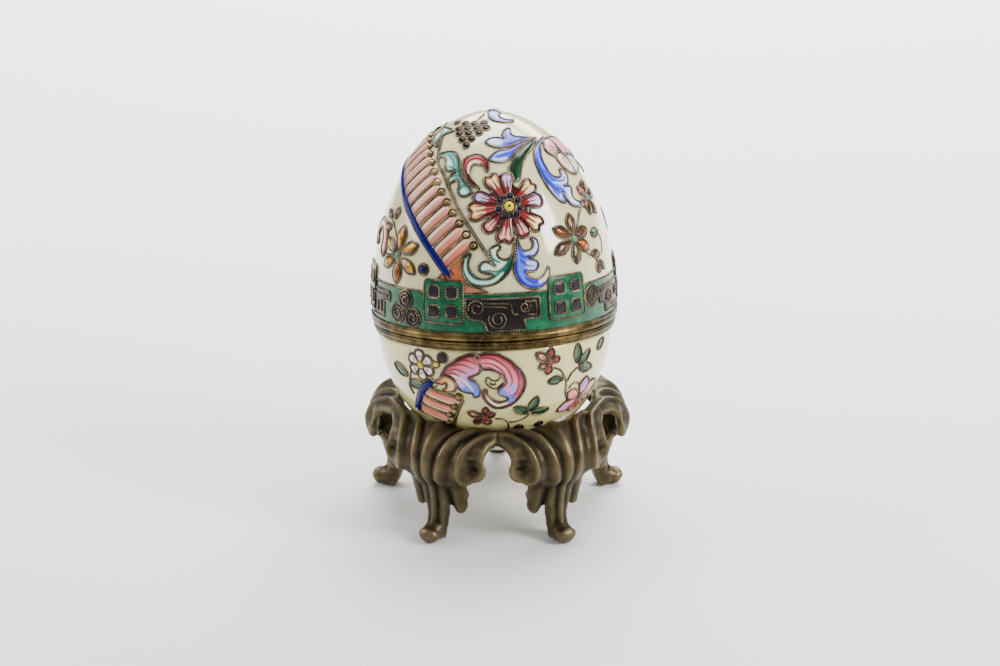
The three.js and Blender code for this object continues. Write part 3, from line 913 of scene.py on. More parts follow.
BAND_PARTS = [("flutes", PAINTED), ("cobalt_roll", COBALT_GLAZE), ("wires", FILIGREE),
              ("beads", BRIGHT_GILT)]
LID_BAND = {"roll": [(-20, 13.9), (-26, 17.1), (-37.2, 22), (-50.2, 26.7), (-72, 32.3), (-94, 34.8),
                     (-114, 35.6)],
            "root": [(-22.2, 15.3), (-37.2, 22), (-50.2, 26.7), (-72, 32.3), (-94, 34.8), (-112, 35.6)],
            "tip": [(-9, 20.7), (-17.5, 25.4), (-32.1, 31.7), (-52.8, 37.5), (-78, 40.2), (-112, 40.6)],
            "border": [(-0.7, 17.5), (-3.1, 18.9), (-6.4, 21.2), (-10.7, 23.8), (-16.1, 26.6),
                       (-27.4, 32.3), (-34.1, 34.7), (-43.6, 37), (-58.7, 41.1), (-84, 42.4), (-112, 42.6)],
            }
BOWL_BAND = {
    "roll": [(-31.4, -9.9), (-36, -10.6), (-41.8, -12.7), (-47, -15.2), (-51.5, -17.2), (-54, -18.2)],
    "root": [(-36, -11.2), (-41.8, -13.3), (-46, -15.4), (-51.5, -17.9)],
    "tip": [(-19.3, -13), (-23, -15.1), (-27.9, -17.5), (-31.6, -20)],
    "border": [(-16.8, -13.8), (-20.4, -16), (-24.6, -18.6), (-28.4, -21.2)],
}


def bands():
    """The bands of the lid and bowl. The lid's flutes turn from orange at the frieze to salmon."""
    warm = [ORANGE, mixed(ORANGE, SALMON, 0.5)] + [SALMON] * 12
    for half, shell, lines, tints in [("lid", LID, LID_BAND, warm),
                                      ("bowl", BOWL, BOWL_BAND, [ORANGE] * 3)]:
        parts = [Piece() for _ in BAND_PARTS]
        fluted_band(shell, *parts, lines, tints)
        for part, (label, finish) in zip(parts, BAND_PARTS):
            part.make(half + "_band_" + label, finish, half + "_enamel")


# Painters: functions that tint one cell of enamel from its flat points and their depth inside it
EDGE_UNDER_WIRE = 0.36
EDGE_SPREAD = 1.3
STROKE_SPREAD = 1.45


def strokes_over(colour, flat, strokes):
    """Brush strokes laid over a tint, each a path, a width and a colour. They thin towards their ends."""
    for path, width, tone in strokes:
        gap, along = path_distance(flat, smooth(path))
        swell = 0.35 + 0.65 * np.sqrt(np.clip(1 - (2 * along - 1) ** 2, 0, 1))
        colour = mixed(colour, tone, fade(gap, STROKE_SPREAD * width * swell))
    return colour


def painted(measure, stops, edge, strokes):
    """A painter that tints a cell by a measure of its points, then its edge, then its strokes."""
    def tint(flat, depth):
        colour = ramp(measure(flat), stops)
        if edge:
            width, tone = edge
            colour = mixed(colour, tone, fade(np.maximum(depth - EDGE_UNDER_WIRE, 0), width * EDGE_SPREAD))
        return strokes_over(colour, flat, strokes)
    return tint


def graded(start, end, stops, edge=None, strokes=()):
    """Tints that change from one place to another, with a tinted edge."""
    start = np.array(start, float)
    reach = np.array(end, float) - start

    def share(flat):
        return np.clip((flat - start) @ reach / (reach @ reach), 0, 1)
    return painted(share, stops, edge, strokes)


def from_edge(path, stops, edge=None, strokes=()):
    """Tints that change with the distance from a painted edge, often the first points of the outline."""
    line = smooth(path)
    return painted(lambda flat: path_distance(flat, line)[0], stops, edge, strokes)


class Bench:
    """The enamel, wires, beads and jewels of one half of the egg."""

    def __init__(self, shell):
        self.shell = shell
        self.enamel = Piece()
        self.wires = Piece()
        self.beads = Piece()
        self.jewels = Piece()

    def patch(self, azimuth, height):
        return Tangent(self.shell, azimuth, height)

    def cell(self, patch, outline, tint, rounded_off=True, **shape):
        """A cell of painted enamel in its frame of beaded wire."""
        line = smooth(outline, True) if rounded_off else np.asarray(outline, float)
        shape.setdefault("spacing", 0.16)
        cell(self.enamel, patch, line, tint, **shape)
        beaded(self.wires, patch, line, True, rise=0.1 + shape.get("base", 0.05) * 0.6)

    def stem(self, patch, path, radius=WIRE_RADIUS):
        beaded(self.wires, patch, smooth(path), radius=radius)

    def bead(self, patch, centre, radius, tint, height=None):
        """An enamel bead in a ring of wire."""
        dome(self.beads, patch, centre, radius, height or radius * 0.85, tint)
        collar(self.wires, patch, centre, radius + 0.12, 0.17, 0.12)

    def jewel(self, patch, outline, tint, height=0.55):
        """Amber glass in a cell of beaded wire."""
        line = smooth(outline, True)
        cell(self.jewels, patch, line, tint, base=0.12, dome=height, fall=0.75)
        beaded(self.wires, patch, line, True, rise=0.16, radius=0.22)

    def finish(self, half, slot):
        for part, label, finish in [(self.enamel, "painted_flowers", PAINTED),
                                    (self.wires, "flower_wires", FILIGREE),
                                    (self.beads, "enamel_beads", BEAD_GLAZE),
                                    (self.jewels, "amber_cells", AMBER_GLASS)]:
            if part.count:
                part.make(half + "_" + label, finish, slot)


BEAD_GLAZE = enamel_finish("bead_glaze", 0.1, (0.4, 0.35, 0.3), 0.4, 0.0, 0.14)


def turned_path(points, angle, centre):
    """Points turned by an angle in degrees round a centre."""
    turn = math.radians(angle)
    spin = np.array([[math.cos(turn), math.sin(turn)], [-math.sin(turn), math.cos(turn)]])
    return np.asarray(points, float) @ spin + np.asarray(centre)


def petal(base, tip, right):
    """A petal from its base to its tip. Its right side is given as (share of its length, sideways) points."""
    base, tip = np.asarray(base, float), np.asarray(tip, float)
    length = np.linalg.norm(tip - base)
    shape = [(x * length, y) for x, y in [*right, (1.0, 0.0), *other_side(right)]]
    return turned_path(shape, math.degrees(math.atan2(*(tip - base)[::-1])), base)


def other_side(right):
    """The other side of a petal, back to its base."""
    return [(x, -y) for x, y in right[::-1]]


def lobe(base, tip, width, fullness=0.55, base_width=0.35):
    """A petal or leaf from its base to its tip, widest at a share of its length."""
    half = width / 2
    return petal(base, tip, [(0.02, -half * base_width), (fullness * 0.5, -half * 0.8), (fullness, -half),
                             (0.84, -half * 0.62), (0.96, -half * 0.2)])


def round_petal(base, tip, width):
    """A petal with a broad round end."""
    right = [(0.05, -0.22), (0.35, -0.36), (0.62, -0.5), (0.84, -0.44), (0.96, -0.22)]
    return petal(base, tip, [(x, y * width) for x, y in right])


def leaf(bench, patch, base, tip, width, tones=(LEAF, LEAF_DARK, LEAF_PALE)):
    """A green leaf with a dark edge, a pale blade and a vein."""
    base, tip = np.asarray(base, float), np.asarray(tip, float)
    middle, dark, pale = tones
    vein = [base, base + (tip - base) * 0.8]
    side = np.array([-(tip - base)[1], (tip - base)[0]]) * width / np.linalg.norm(tip - base) ** 2 * 0.24
    gleam = [base + (tip - base) * 0.3 + side * np.linalg.norm(tip - base),
             base + (tip - base) * 0.8 + side * 1.5]
    tint = graded(base, tip, [(0, dark), (0.35, middle), (0.8, middle), (1, dark)], (0.4, dark),
                  [(gleam, 0.5, mixed(middle, pale, 0.6)), (vein, 0.28, dark)])
    bench.cell(patch, lobe(base, tip, width, 0.5), tint)


DAISY_PETALS = [(89, 7.7, 1.25, LILAC), (116, 8.3, 1.5, LEMON), (157, 7.9, 1.15, LILAC),
                (184, 8.8, 1.7, LEMON), (222, 7.5, 1.15, ROSE), (258.5, 8.1, 1.55, PALE_ROSE),
                (295, 7.4, 1.2, rgb(200, 90, 110)), (326, 8.3, 1.55, LEMON), (12, 7.7, 1.35, LILAC),
                (43, 8.1, 1.4, rgb(232, 222, 176))]


def outer_edge(outlines, centre, reach=9.0):
    """The line round the outside of shapes that overlap about a centre."""
    turn = np.radians(np.arange(0, 360, 1.5))
    steps = np.arange(4.2, reach, 0.05)
    rays = np.asarray(centre) + steps[None, :, None] * np.stack([np.cos(turn), np.sin(turn)], -1)[:, None]
    covered = np.zeros(rays.shape[:2], bool)
    for outline in outlines:
        covered |= inside(rays.reshape(-1, 2), outline).reshape(covered.shape)
    radii = np.where(covered, steps[None], 4.6).max(1) + 0.1
    return np.asarray(centre) + radii[:, None] * np.stack([np.cos(turn), np.sin(turn)], -1)


def daisy(bench, patch):
    """The ten-petalled flower of the lid with its ring of blue beads."""
    centre = (0.2, 0)
    half = [(1.9, 0.5), (3.4, 0.74), (5.0, 1.05), (6.3, 1.32), (7.2, 1.2), (7.85, 0.66)]
    outlines = []
    for angle, length, width, tip in DAISY_PETALS:
        scale = length / 8.0
        right = [(x * scale, -y * width * 0.94) for x, y in half]
        notch = (length * (0.93 if width > 1.38 else 1.0), 0.0)
        outline = smooth(turned_path([*right, notch, *other_side(right)], angle, centre), True)
        outlines.append(outline)
        veins = []
        for offset in (-0.62, 0.0, 0.62):
            vein = [(1.9, offset * 0.6), (3.6, offset * width * 0.7), (6.3 * scale, offset * width * 0.95)]
            veins.append((turned_path(vein, angle, centre), 0.24, CRIMSON))
        for offset in (-0.35, 0.35):
            gleam = [(4.6 * scale, offset * width), (7.0 * scale, offset * width * 1.2)]
            veins.insert(0, (turned_path(gleam, angle, centre), 0.4, mixed(tip, WHITE, 0.55)))
        ends = turned_path([(1.9, 0), (length, 0)], angle, centre)
        stops = [(0, CRIMSON), (0.14, SCARLET), (0.4, SCARLET), (0.7, mixed(SCARLET, tip, 0.6)),
                 (0.88, tip), (1, tip)]
        tint = graded(ends[0], ends[1], stops, (0.42, CRIMSON), veins)
        cell(bench.enamel, patch, outline, tint, base=0.16, dome=0.3, spacing=0.14)
    edge = outer_edge(outlines, centre)
    cell(bench.enamel, patch, edge, CRIMSON, base=0.08, dome=0.06)
    beaded(bench.wires, patch, edge, True, rise=0.16)
    cell(bench.enamel, patch, circle(centre, 2.7, 24), rgb(34, 20, 30), base=0.36, dome=0.14)
    beaded(bench.wires, patch, circle(centre, 1.42, 24), True, rise=0.58, radius=0.16)
    for angle in (82, 140, 194, 245, 307, 347, 33):
        spot = turned_path([(2.3, 0)], angle, centre)[0]
        patch_bead(bench, patch, spot, 0.66, rgb(14, 14, 80))
    dome(bench.beads, patch, centre, 1.3, 0.95, YELLOW, 20)
    dome(bench.beads, patch, centre, 0.5, 1.18, BLACK, 12)


def patch_bead(bench, patch, spot, radius, tint):
    dome(bench.beads, patch, spot, radius, 0.85, tint)
    collar(bench.wires, patch, spot, radius + 0.08, 0.11, 0.54)


def lid_acanthus(bench, patch, front):
    """The teal and the blue acanthus leaves below the daisy."""
    teal = [(2.4, 4.0), (2.1, 1.5), (1.3, -1.2), (0, -3.0), (-2, -4.3), (-4, -4.8), (-6.2, -4.8),
            (-7.8, -3.9), (-8.8, -2.2), (-9, -0.2), (-8.5, 1.4), (-7.6, 2.3), (-6.9, 2.1), (-7.5, 0.6),
            (-7.3, -1), (-6.3, -2.5), (-4.8, -3.2), (-3, -3), (-2.8, -2.4), (-4.2, -2.1), (-5.3, -1.6),
            (-5.5, -0.6), (-4.9, 0.3), (-4, 0.6), (-3, 0.2), (-2, -0.8), (-3, 0.6), (-3.4, 1.9),
            (-2.9, 3.2), (-1.6, 4), (-0.8, 3.8), (-0.7, 3), (-1.3, 2.5), (-1.3, 1.7), (-0.5, 1), (0.8, 1),
            (1.8, 2), (2.1, 3.6)]
    strokes = [([(-8.3, 1.2), (-8.2, -1.2), (-6.9, -3.4), (-4.6, -4.0), (-2.4, -3.6), (-0.4, -2.0)],
                0.45, MIST),
               ([(-7.9, 0.4), (-7.6, -1.6), (-6.2, -3.1)], 0.3, TEAL),
               ([(-4.8, -1.5), (-3.2, -1.5), (-1.4, -1.6), (0.6, -0.2), (1.6, 1.6)], 0.35, TEAL),
               ([(-4.6, -0.5), (-3.4, -0.7), (-1.6, -0.9), (0.2, 0.2)], 0.5, WHITE),
               ([(-3.0, 2.4), (-2.4, 1.0), (-0.9, 0.1)], 0.4, TEAL),
               ([(-2.6, 3.0), (-1.9, 2.1)], 0.45, WHITE)]
    tones = [(0, TEAL_DARK), (0.5, TEAL_DARK), (0.9, TEAL), (1.7, TURQUOISE), (2.4, MIST), (3.5, MIST)]
    bench.cell(patch, teal, from_edge(teal[:9], tones, (0.22, TEAL_DARK), strokes), base=0.12, dome=0.2)
    blue = [(2.9, 5.2), (2.7, 3), (2.3, 0.8), (1.9, -1), (2.2, -2.8), (3.2, -4.4), (4.8, -5.5), (6.5, -5.8),
            (8.2, -5.2), (9.3, -3.8), (9.8, -2), (9.5, -1), (9, -2), (8.2, -3), (7, -3.6), (5.6, -3.3),
            (4.4, -2), (5.4, -2.1), (6.6, -2), (7.3, -1), (7.2, -0.1), (6.3, 0.5), (5.2, 0.9), (6.3, 1.1),
            (7.2, 1.9), (7.5, 3.2), (7.2, 4.6), (6.4, 5.3), (5.8, 5), (6.3, 3.8), (5.8, 2.8), (4.6, 2.5),
            (3.8, 3), (3.3, 4.2)]
    strokes = [([(3.0, 2.6), (3.1, -0.4), (3.3, -2.4), (4.8, -4.3), (7.0, -4.8)], 0.4, SKY),
               ([(3.4, 1.8), (4.4, 1.0), (5.6, 1.8), (6.6, 2.6)], 0.4, ROYAL),
               ([(3.3, 0.6), (4.6, -0.4), (6.4, -0.9)], 0.4, ROYAL),
               ([(4.4, 1.9), (5.8, 2.1), (6.9, 3.2), (6.8, 4.4)], 0.45, ICE),
               ([(4.6, -0.1), (6.4, -0.5)], 0.4, ICE),
               ([(4.2, -3.2), (6.0, -4.4), (8.2, -4.2)], 0.35, ROYAL),
               ([(7.2, -4.4), (8.8, -3.4), (9.4, -2.0)], 0.5, WHITE)]
    tones = [(0, ROYAL), (0.6, ROYAL), (1.3, rgb(110, 130, 220)), (2.4, SKY), (3.4, ICE)]
    bench.cell(patch, blue, from_edge(blue[:8], tones, (0.2, ROYAL), strokes), base=0.12, dome=0.2)
    if front:
        ground = [(-13.9, -2.4), (-10.4, 2.0), (-9.3, 2.9), (-8.4, 1.0), (-9.0, -1.5), (-8.0, -4.2),
                  (-5.0, -5.4), (-3.4, -6.2), (-8.8, -6.3), (-12.6, -6.4), (-12.8, -4.2), (-15.0, -3.9)]
        tint = graded((-14, -2), (-6, -6), [(0, TAN), (0.4, ORANGE), (1, SALMON)], (0.3, TAN))
        bench.cell(patch, ground, tint, False, base=0.03, dome=0.08)


def turquoise_and_scroll(bench, patch):
    """The turquoise leaf and the pink scroll beside the band."""
    leaf_line = [(-6.1, 5.1), (-5.3, 5.3), (-4.2, 5.6), (-2.7, 5.6), (-1.6, 5.1), (-1, 4.2), (-0.3, 2.9),
                 (0.1, 1.4), (0.9, -0.3), (2.2, -1.9), (3.5, -3), (3.9, -3.9), (3.5, -4.5), (2.9, -5),
                 (1.9, -5.2), (1, -4.7), (0.6, -3.9), (0.7, -2.9), (0.3, -1.8), (-0.3, -1.6), (-1.1, -2.2),
                 (-1.6, -2.7), (-2.1, -1.3), (-1.6, -0.3), (-0.7, 0.5), (-2.6, 0.5), (-3.4, 1.2),
                 (-3.8, 2.4), (-4, 3.4), (-4.8, 4.1), (-5.9, 4.3)]
    edge = [(-2.0, 5.2), *leaf_line[5:11]]
    strokes = [([(-5.4, 4.8), (-3.6, 4.6), (-2.2, 3.4), (-1.2, 1.6)], 0.4, TURQUOISE),
               ([(-3.0, 1.6), (-2.0, 1.5), (-0.8, 1.0)], 0.3, TEAL),
               ([(-1.8, -1.4), (-0.8, -0.6), (0.4, -0.6)], 0.35, TEAL),
               ([(1.0, -4.2), (1.4, -3.0), (2.2, -2.6)], 0.35, TEAL),
               ([(1.8, -4.6), (2.4, -3.6)], 0.4, MIST)]
    tones = [(0, TEAL), (0.5, TURQUOISE), (1.3, mixed(TURQUOISE, MIST, 0.5)), (2.2, MIST)]
    bench.cell(patch, leaf_line, from_edge(edge, tones, (0.25, rgb(60, 120, 112)), strokes), base=0.1,
               dome=0.18)
    outer = [(5.3, -3), (3.5, -2.4), (2.2, -1.3), (1.3, 0), (0.6, 1.3), (0.4, 2.7), (0.6, 3.8), (1.6, 4.6),
             (2.9, 5.1), (4, 5), (5.1, 4.3), (5.9, 3.4), (6.4, 1.9), (6.1, 1.1)]
    inner = [(5.6, 1.6), (5.3, 2.2), (4.5, 2.5), (3.5, 2.6), (2.7, 2.1), (2.6, 1.1), (2.7, 0), (3.2, -1),
             (4.2, -1.9), (5.1, -2.6)]
    strokes = [([(4.4, -2.3), (2.6, -0.8), (1.6, 1.2), (1.7, 3.0), (3.0, 3.9), (4.6, 3.6), (5.8, 2.2)],
                0.28, CRIMSON),
               ([(2.3, 0.2), (2.0, 1.8), (2.6, 3.0), (4.2, 3.2)], 0.35, WHITE)]
    tones = [(0, CRIMSON), (0.35, CRIMSON), (0.75, rgb(206, 110, 110)), (1.4, ROSE), (2.2, PALE_ROSE)]
    bench.cell(patch, outer + inner, from_edge(outer, tones, (0.2, CRIMSON), strokes), base=0.12, dome=0.2)


def side_scroll(bench, patch):
    """A pale pink scroll at the side of the lid."""
    outer = [(4.8, -4.0), (5.6, -1.4), (4.8, 1.6), (2.4, 3.6), (-0.6, 3.8), (-2.8, 2.0), (-3.0, -0.6),
             (-1.6, -2.2)]
    inner = [(-0.2, -1.8), (-1.2, -0.4), (-0.8, 1.2), (0.6, 1.8), (2.2, 1.0), (3.0, -0.8), (3.0, -2.8)]
    tones = [(0, CRIMSON), (0.5, rgb(196, 104, 104)), (1.3, ROSE), (2.2, PALE_ROSE)]
    strokes = [([(4.2, -2.6), (4.0, 0.4), (2.2, 2.4), (-0.4, 2.6), (-1.8, 1.0)], 0.3, WHITE)]
    bench.cell(patch, outer + inner, from_edge(outer, tones, (0.2, CRIMSON), strokes), base=0.12, dome=0.2)


def blue_plume(bench, patch):
    """The curling blue leaf to the right of the daisy."""
    line = [(4, 10.3), (2.2, 9.9), (0, 8.8), (-1.8, 7.5), (-2.9, 5.7), (-3.5, 4), (-3.7, 1.8), (-3.6, -0.4),
            (-3.1, -2.4), (-2.2, -4.2), (-1.1, -5.5), (0.2, -5.7), (0.3, -5.1), (0, -3.5), (0.5, -4.9),
            (1.3, -6.4), (2.6, -7), (4.2, -7), (4.8, -6.2), (3.1, -5.3), (2.9, -4.2), (3.3, -3.1),
            (3.1, -2.2), (1.3, -2), (2.6, -1.8), (3.5, -0.9), (3.7, 0.4), (3.3, 1.5), (2.6, 2.1),
            (2.2, 1.9), (1.8, 0.7), (0.9, 0.2), (-0.2, 0.4), (-1.1, 1.5), (-1.3, 3.3), (-1.1, 5.1),
            (-0.2, 6.8), (0.9, 8.4), (2.2, 9.1)]
    strokes = [([(1.6, 9.3), (-1.0, 7.2), (-2.2, 4.4), (-2.4, 1.6), (-1.8, -1.4)], 0.35, SKY),
               ([(-2.9, 1.0), (-2.0, -1.4), (-0.6, -3.6)], 0.4, ROYAL),
               ([(-2.6, 2.6), (-1.2, -0.2), (1.4, -0.9), (2.9, 0.2)], 0.35, ROYAL),
               ([(-1.6, -0.8), (0.6, -1.4), (2.4, -1.3)], 0.35, ICE),
               ([(-1.4, -2.2), (0.2, -2.8), (1.6, -4.6), (3.2, -6.2)], 0.35, ROYAL),
               ([(1.2, -3.2), (2.2, -5.4), (3.8, -6.5)], 0.5, WHITE),
               ([(-1.2, -4.6), (-0.4, -3.6)], 0.4, ICE), ([(2.6, 0.2), (2.9, 1.4)], 0.4, WHITE)]
    tones = [(0, ROYAL), (0.9, ROYAL), (1.7, rgb(100, 125, 220)), (3.0, SKY), (5.0, ICE)]
    bench.cell(patch, line, from_edge(line[:9], tones, (0.22, ROYAL), strokes), base=0.12, dome=0.2)


def peony(bench, patch):
    """The pale many-petalled flower near the crown."""
    petals = [[(3.1, 9.7), (1.9, 8.2), (1.3, 6.8), (2, 5.7), (3.3, 5.1), (5.2, 6.0), (6.0, 8.0),
               (5.4, 9.9)],
              [(3.3, 5.1), (3.5, 2.9), (4.2, 1.8), (5.5, 0.7), (7.5, 0.5), (7.6, 2.8), (6.9, 5.0),
               (5.2, 6.0)],
              [(7.5, 0.5), (9.5, 1.5), (11, 2.6), (11.2, 5.0), (9.4, 5.8), (7.4, 5.2), (7.0, 3.0)],
              [(6.0, 8.0), (7.2, 5.4), (9.4, 5.8), (11.2, 5.2), (11.6, 8.0), (10.6, 10.2), (8.0, 10.6),
               (5.6, 10.2)]]
    tones = [[(0, WHITE), (1.0, PALE_ROSE), (3, ROSE)], [(0, LEMON), (0.9, WHITE), (3, ROSE)],
             [(0, LILAC), (1.4, WHITE), (3, ROSE)], [(0, LILAC), (1.5, PALE_ROSE), (3, rgb(214, 120, 120))]]
    heart = np.array([6.8, 6.0])
    vein_tint = rgb(150, 110, 116)
    for shape, stops in zip(petals, tones):
        outline = np.array(shape)
        veins = [([heart + (p - heart) * 0.25, heart + (p - heart) * 0.8], 0.22, vein_tint)
                 for p in outline[1:5]]
        ring = np.vstack([outline, outline[:1]])
        bench.cell(patch, shape, from_edge(ring, stops, (0.2, rgb(140, 110, 110)), veins), base=0.12,
                   dome=0.3)


def amber_flower(bench, patch, centre, petals, tones, heart=0.85):
    """A jewelled flower: petals of amber glass round a turquoise bead, each with a painted highlight near one
    side and painted shade along the other.
    """
    for (base, tip, width, fullness), (light, deep) in zip(petals, tones):
        base, tip = np.asarray(base, float), np.asarray(tip, float)
        side = np.array([-(tip - base)[1], (tip - base)[0]])
        side = side / np.linalg.norm(side) * width * 0.5
        middle = (base + tip) / 2
        # Across each petal: painted shade in the deep tone on one side, a painted highlight in the light tone
        # towards the other.
        stops = [(0, deep), (0.3, deep), (0.5, light), (0.85, light), (1, deep)]
        tint = graded(middle - side, middle + side, stops, (0.16, UMBER))
        bench.jewel(patch, lobe(base, tip, width, fullness, 0.3), tint)
    dome(bench.beads, patch, centre, heart, 0.6, rgb(120, 176, 150), 16)
    collar(bench.wires, patch, centre, heart + 0.12, 0.18, 0.14)


WARM = (AMBER, AMBER_DEEP)
BURNT = (np.array([0.34, 0.1, 0.002]), AMBER_BURNT)
BROWN = (rgb(146, 82, 30), rgb(66, 34, 14))
MOSS = (rgb(150, 130, 66), OLIVE)


def left_amber_flower(bench, patch):
    petals = [((-0.9, 0.6), (-0.4, 5.9), 3.0, 0.6), ((0.2, 0.0), (4.9, 2.3), 2.9, 0.6),
              ((0.2, -1.4), (4.9, -4), 2.7, 0.6), ((-0.8, -2.0), (-0.9, -7), 3.2, 0.55),
              ((-2.2, -1.5), (-6.5, -3.6), 2.7, 0.6), ((-2.3, -0.1), (-5.9, 2.5), 2.7, 0.65)]
    amber_flower(bench, patch, (-1.26, -0.72), petals, [WARM, WARM, WARM, BURNT, WARM, WARM])
    bench.stem(patch, [(-1.5, 0.2), (-2.9, 3.4), (-4.9, 5.8)])
    bench.stem(patch, [(-2.4, -0.7), (-5.6, -1.1), (-9, -1)])
    bench.stem(patch, [(-4.9, 5.8), (-6.0, 6.4), (-6.6, 7.0)])
    for tip, base, width, tone in [((-8.6, 8.4), (-6.4, 6.9), 1.7, BROWN),
                                   ((-3.9, 9.4), (-4.8, 6.8), 1.9, BROWN),
                                   ((-8.4, 4.6), (-5.5, 4.9), 1.9, WARM)]:
        amber_bud(bench, patch, base, tip, width, tone)
    bench.bead(patch, (6.9, -2.7), 0.95, COBALT, 0.75)
    collar(bench.wires, patch, (6.9, -2.7), 1.35, 0.16, 0.1)


def amber_bud(bench, patch, base, tip, width, tone):
    light, deep = tone
    tint = graded(base, tip, [(0, deep), (0.5, light), (1, deep)], (0.16, UMBER))
    bench.jewel(patch, lobe(base, tip, width, 0.55, 0.4), tint)


def right_amber_flower(bench, patch):
    centre = np.array([-0.9, -0.1])
    tips = [(-0.7, 5.6), (-5.9, 3.1), (-6.8, -2.5), (-1.1, -5.6), (3.4, -3.1), (4.0, 1.6)]
    tones = [(rgb(150, 120, 60), UMBER), (rgb(172, 104, 38), rgb(96, 50, 18)), BROWN, MOSS,
             (rgb(226, 170, 60), AMBER_DEEP), BROWN]
    petals = []
    for tip in np.array(tips):
        way = (tip - centre) / np.linalg.norm(tip - centre)
        petals.append((centre + way * 1.1, tip, 2.7, 0.6))
    amber_flower(bench, patch, centre, petals, tones, 0.8)
    bench.stem(patch, [(0, 0.7), (1.8, 3.6), (3.6, 5.6), (4.3, 6.7), (6.6, 7.6), (9.4, 7.2)])
    bench.stem(patch, [(0.4, -1.4), (2.6, -3.8), (4.4, -4.6)])
    bench.stem(patch, [(5.4, -4.8), (5.8, -5.8), (6.2, -6.6)])
    amber_bud(bench, patch, (4.0, -4.0), (7.4, -4.7), 2.0, (rgb(158, 92, 36), rgb(88, 46, 18)))
    amber_bud(bench, patch, (5.6, -6.4), (6.6, -8.6), 1.8, BROWN)
    amber_bud(bench, patch, (6.8, -6.0), (8.8, -8.0), 1.6, (rgb(110, 96, 84), rgb(60, 44, 34)))
    leaf(bench, patch, (5.2, 0.1), (8.4, 0.4), 2.1, (rgb(120, 170, 140), LEAF_DARK, rgb(190, 210, 180)))
    bench.stem(patch, [(8.4, 0.4), (9.4, -2.0), (8.6, -4.6)], 0.15)


def brown_flower(bench, patch):
    """The small brown flower under the blue plume."""
    centre = (8.2, -5.2)
    tips = [((8.8, -1.0), BROWN), ((5.6, -2.6), (ROSE, rgb(150, 90, 80))),
            ((11.6, -3.4), (rgb(120, 140, 100), OLIVE)), ((7.3, -9.0), BROWN), ((10.6, -8.6), BROWN),
            ((5.4, -7.2), (rgb(180, 130, 120), rgb(110, 70, 60)))]
    petals = [(np.add(centre, (np.array(tip) - centre) * 0.25), tip, 2.4, 0.6) for tip, _ in tips]
    amber_flower(bench, patch, centre, petals, [tone for _, tone in tips], 0.7)
    bench.stem(patch, [(2.0, -10.6), (3.1, -8.4), (4.6, -7.3), (5.7, -6.4)])


def grapes(bench, patch):
    """A bunch of near-black beads with its tendrils near the crown."""
    for spot in [(-2.4, 4.3), (-0.2, 4.2), (1.8, 4.8), (3, 3.3), (-3.3, 2.4), (-1.1, 2.4), (1.1, 2.6),
                 (-2.5, 0.8), (-0.2, 0.8), (2.1, 1.3), (-1, -1.1), (1.1, -0.7), (0.5, -2.7)]:
        bench.bead(patch, spot, 0.78, BLACK, 0.32)
    bench.bead(patch, (-4.9, 5.2), 0.7, rgb(110, 112, 110), 0.6)
    bench.stem(patch, [(0, 5), (0.1, 6.8), (0.4, 8.6)])
    outer = [(0.3, 11), (1.3, 8.4), (2.4, 6.8), (4, 6.2), (5.8, 6.7), (6.9, 8), (6.6, 8.8)]
    inner = [(5.8, 8.1), (4.6, 7.9), (3.5, 8.8), (2.9, 10.5)]
    tint = from_edge(outer, [(0, ROYAL), (0.6, SKY), (1.4, LILAC)], (0.2, ROYAL))
    bench.cell(patch, outer + inner, tint, base=0.1)


def crown_curl(bench, patch):
    """The turquoise curl where the band meets the crown."""
    line = [(-6.8, -2.5), (-7.2, -0.5), (-6.5, 0.8), (-5.6, 1.4), (-4.4, 1.6), (-5, 2.6), (-6.2, 3.4),
            (-8, 4.5), (-9.0, 3.6), (-9.4, 1.6), (-8.8, -0.4), (-7.8, -1.8)]
    tones = [(0, TEAL), (0.6, TURQUOISE), (1.6, MIST)]
    bench.cell(patch, line, from_edge(line[:4], tones, (0.2, TEAL)), base=0.1)


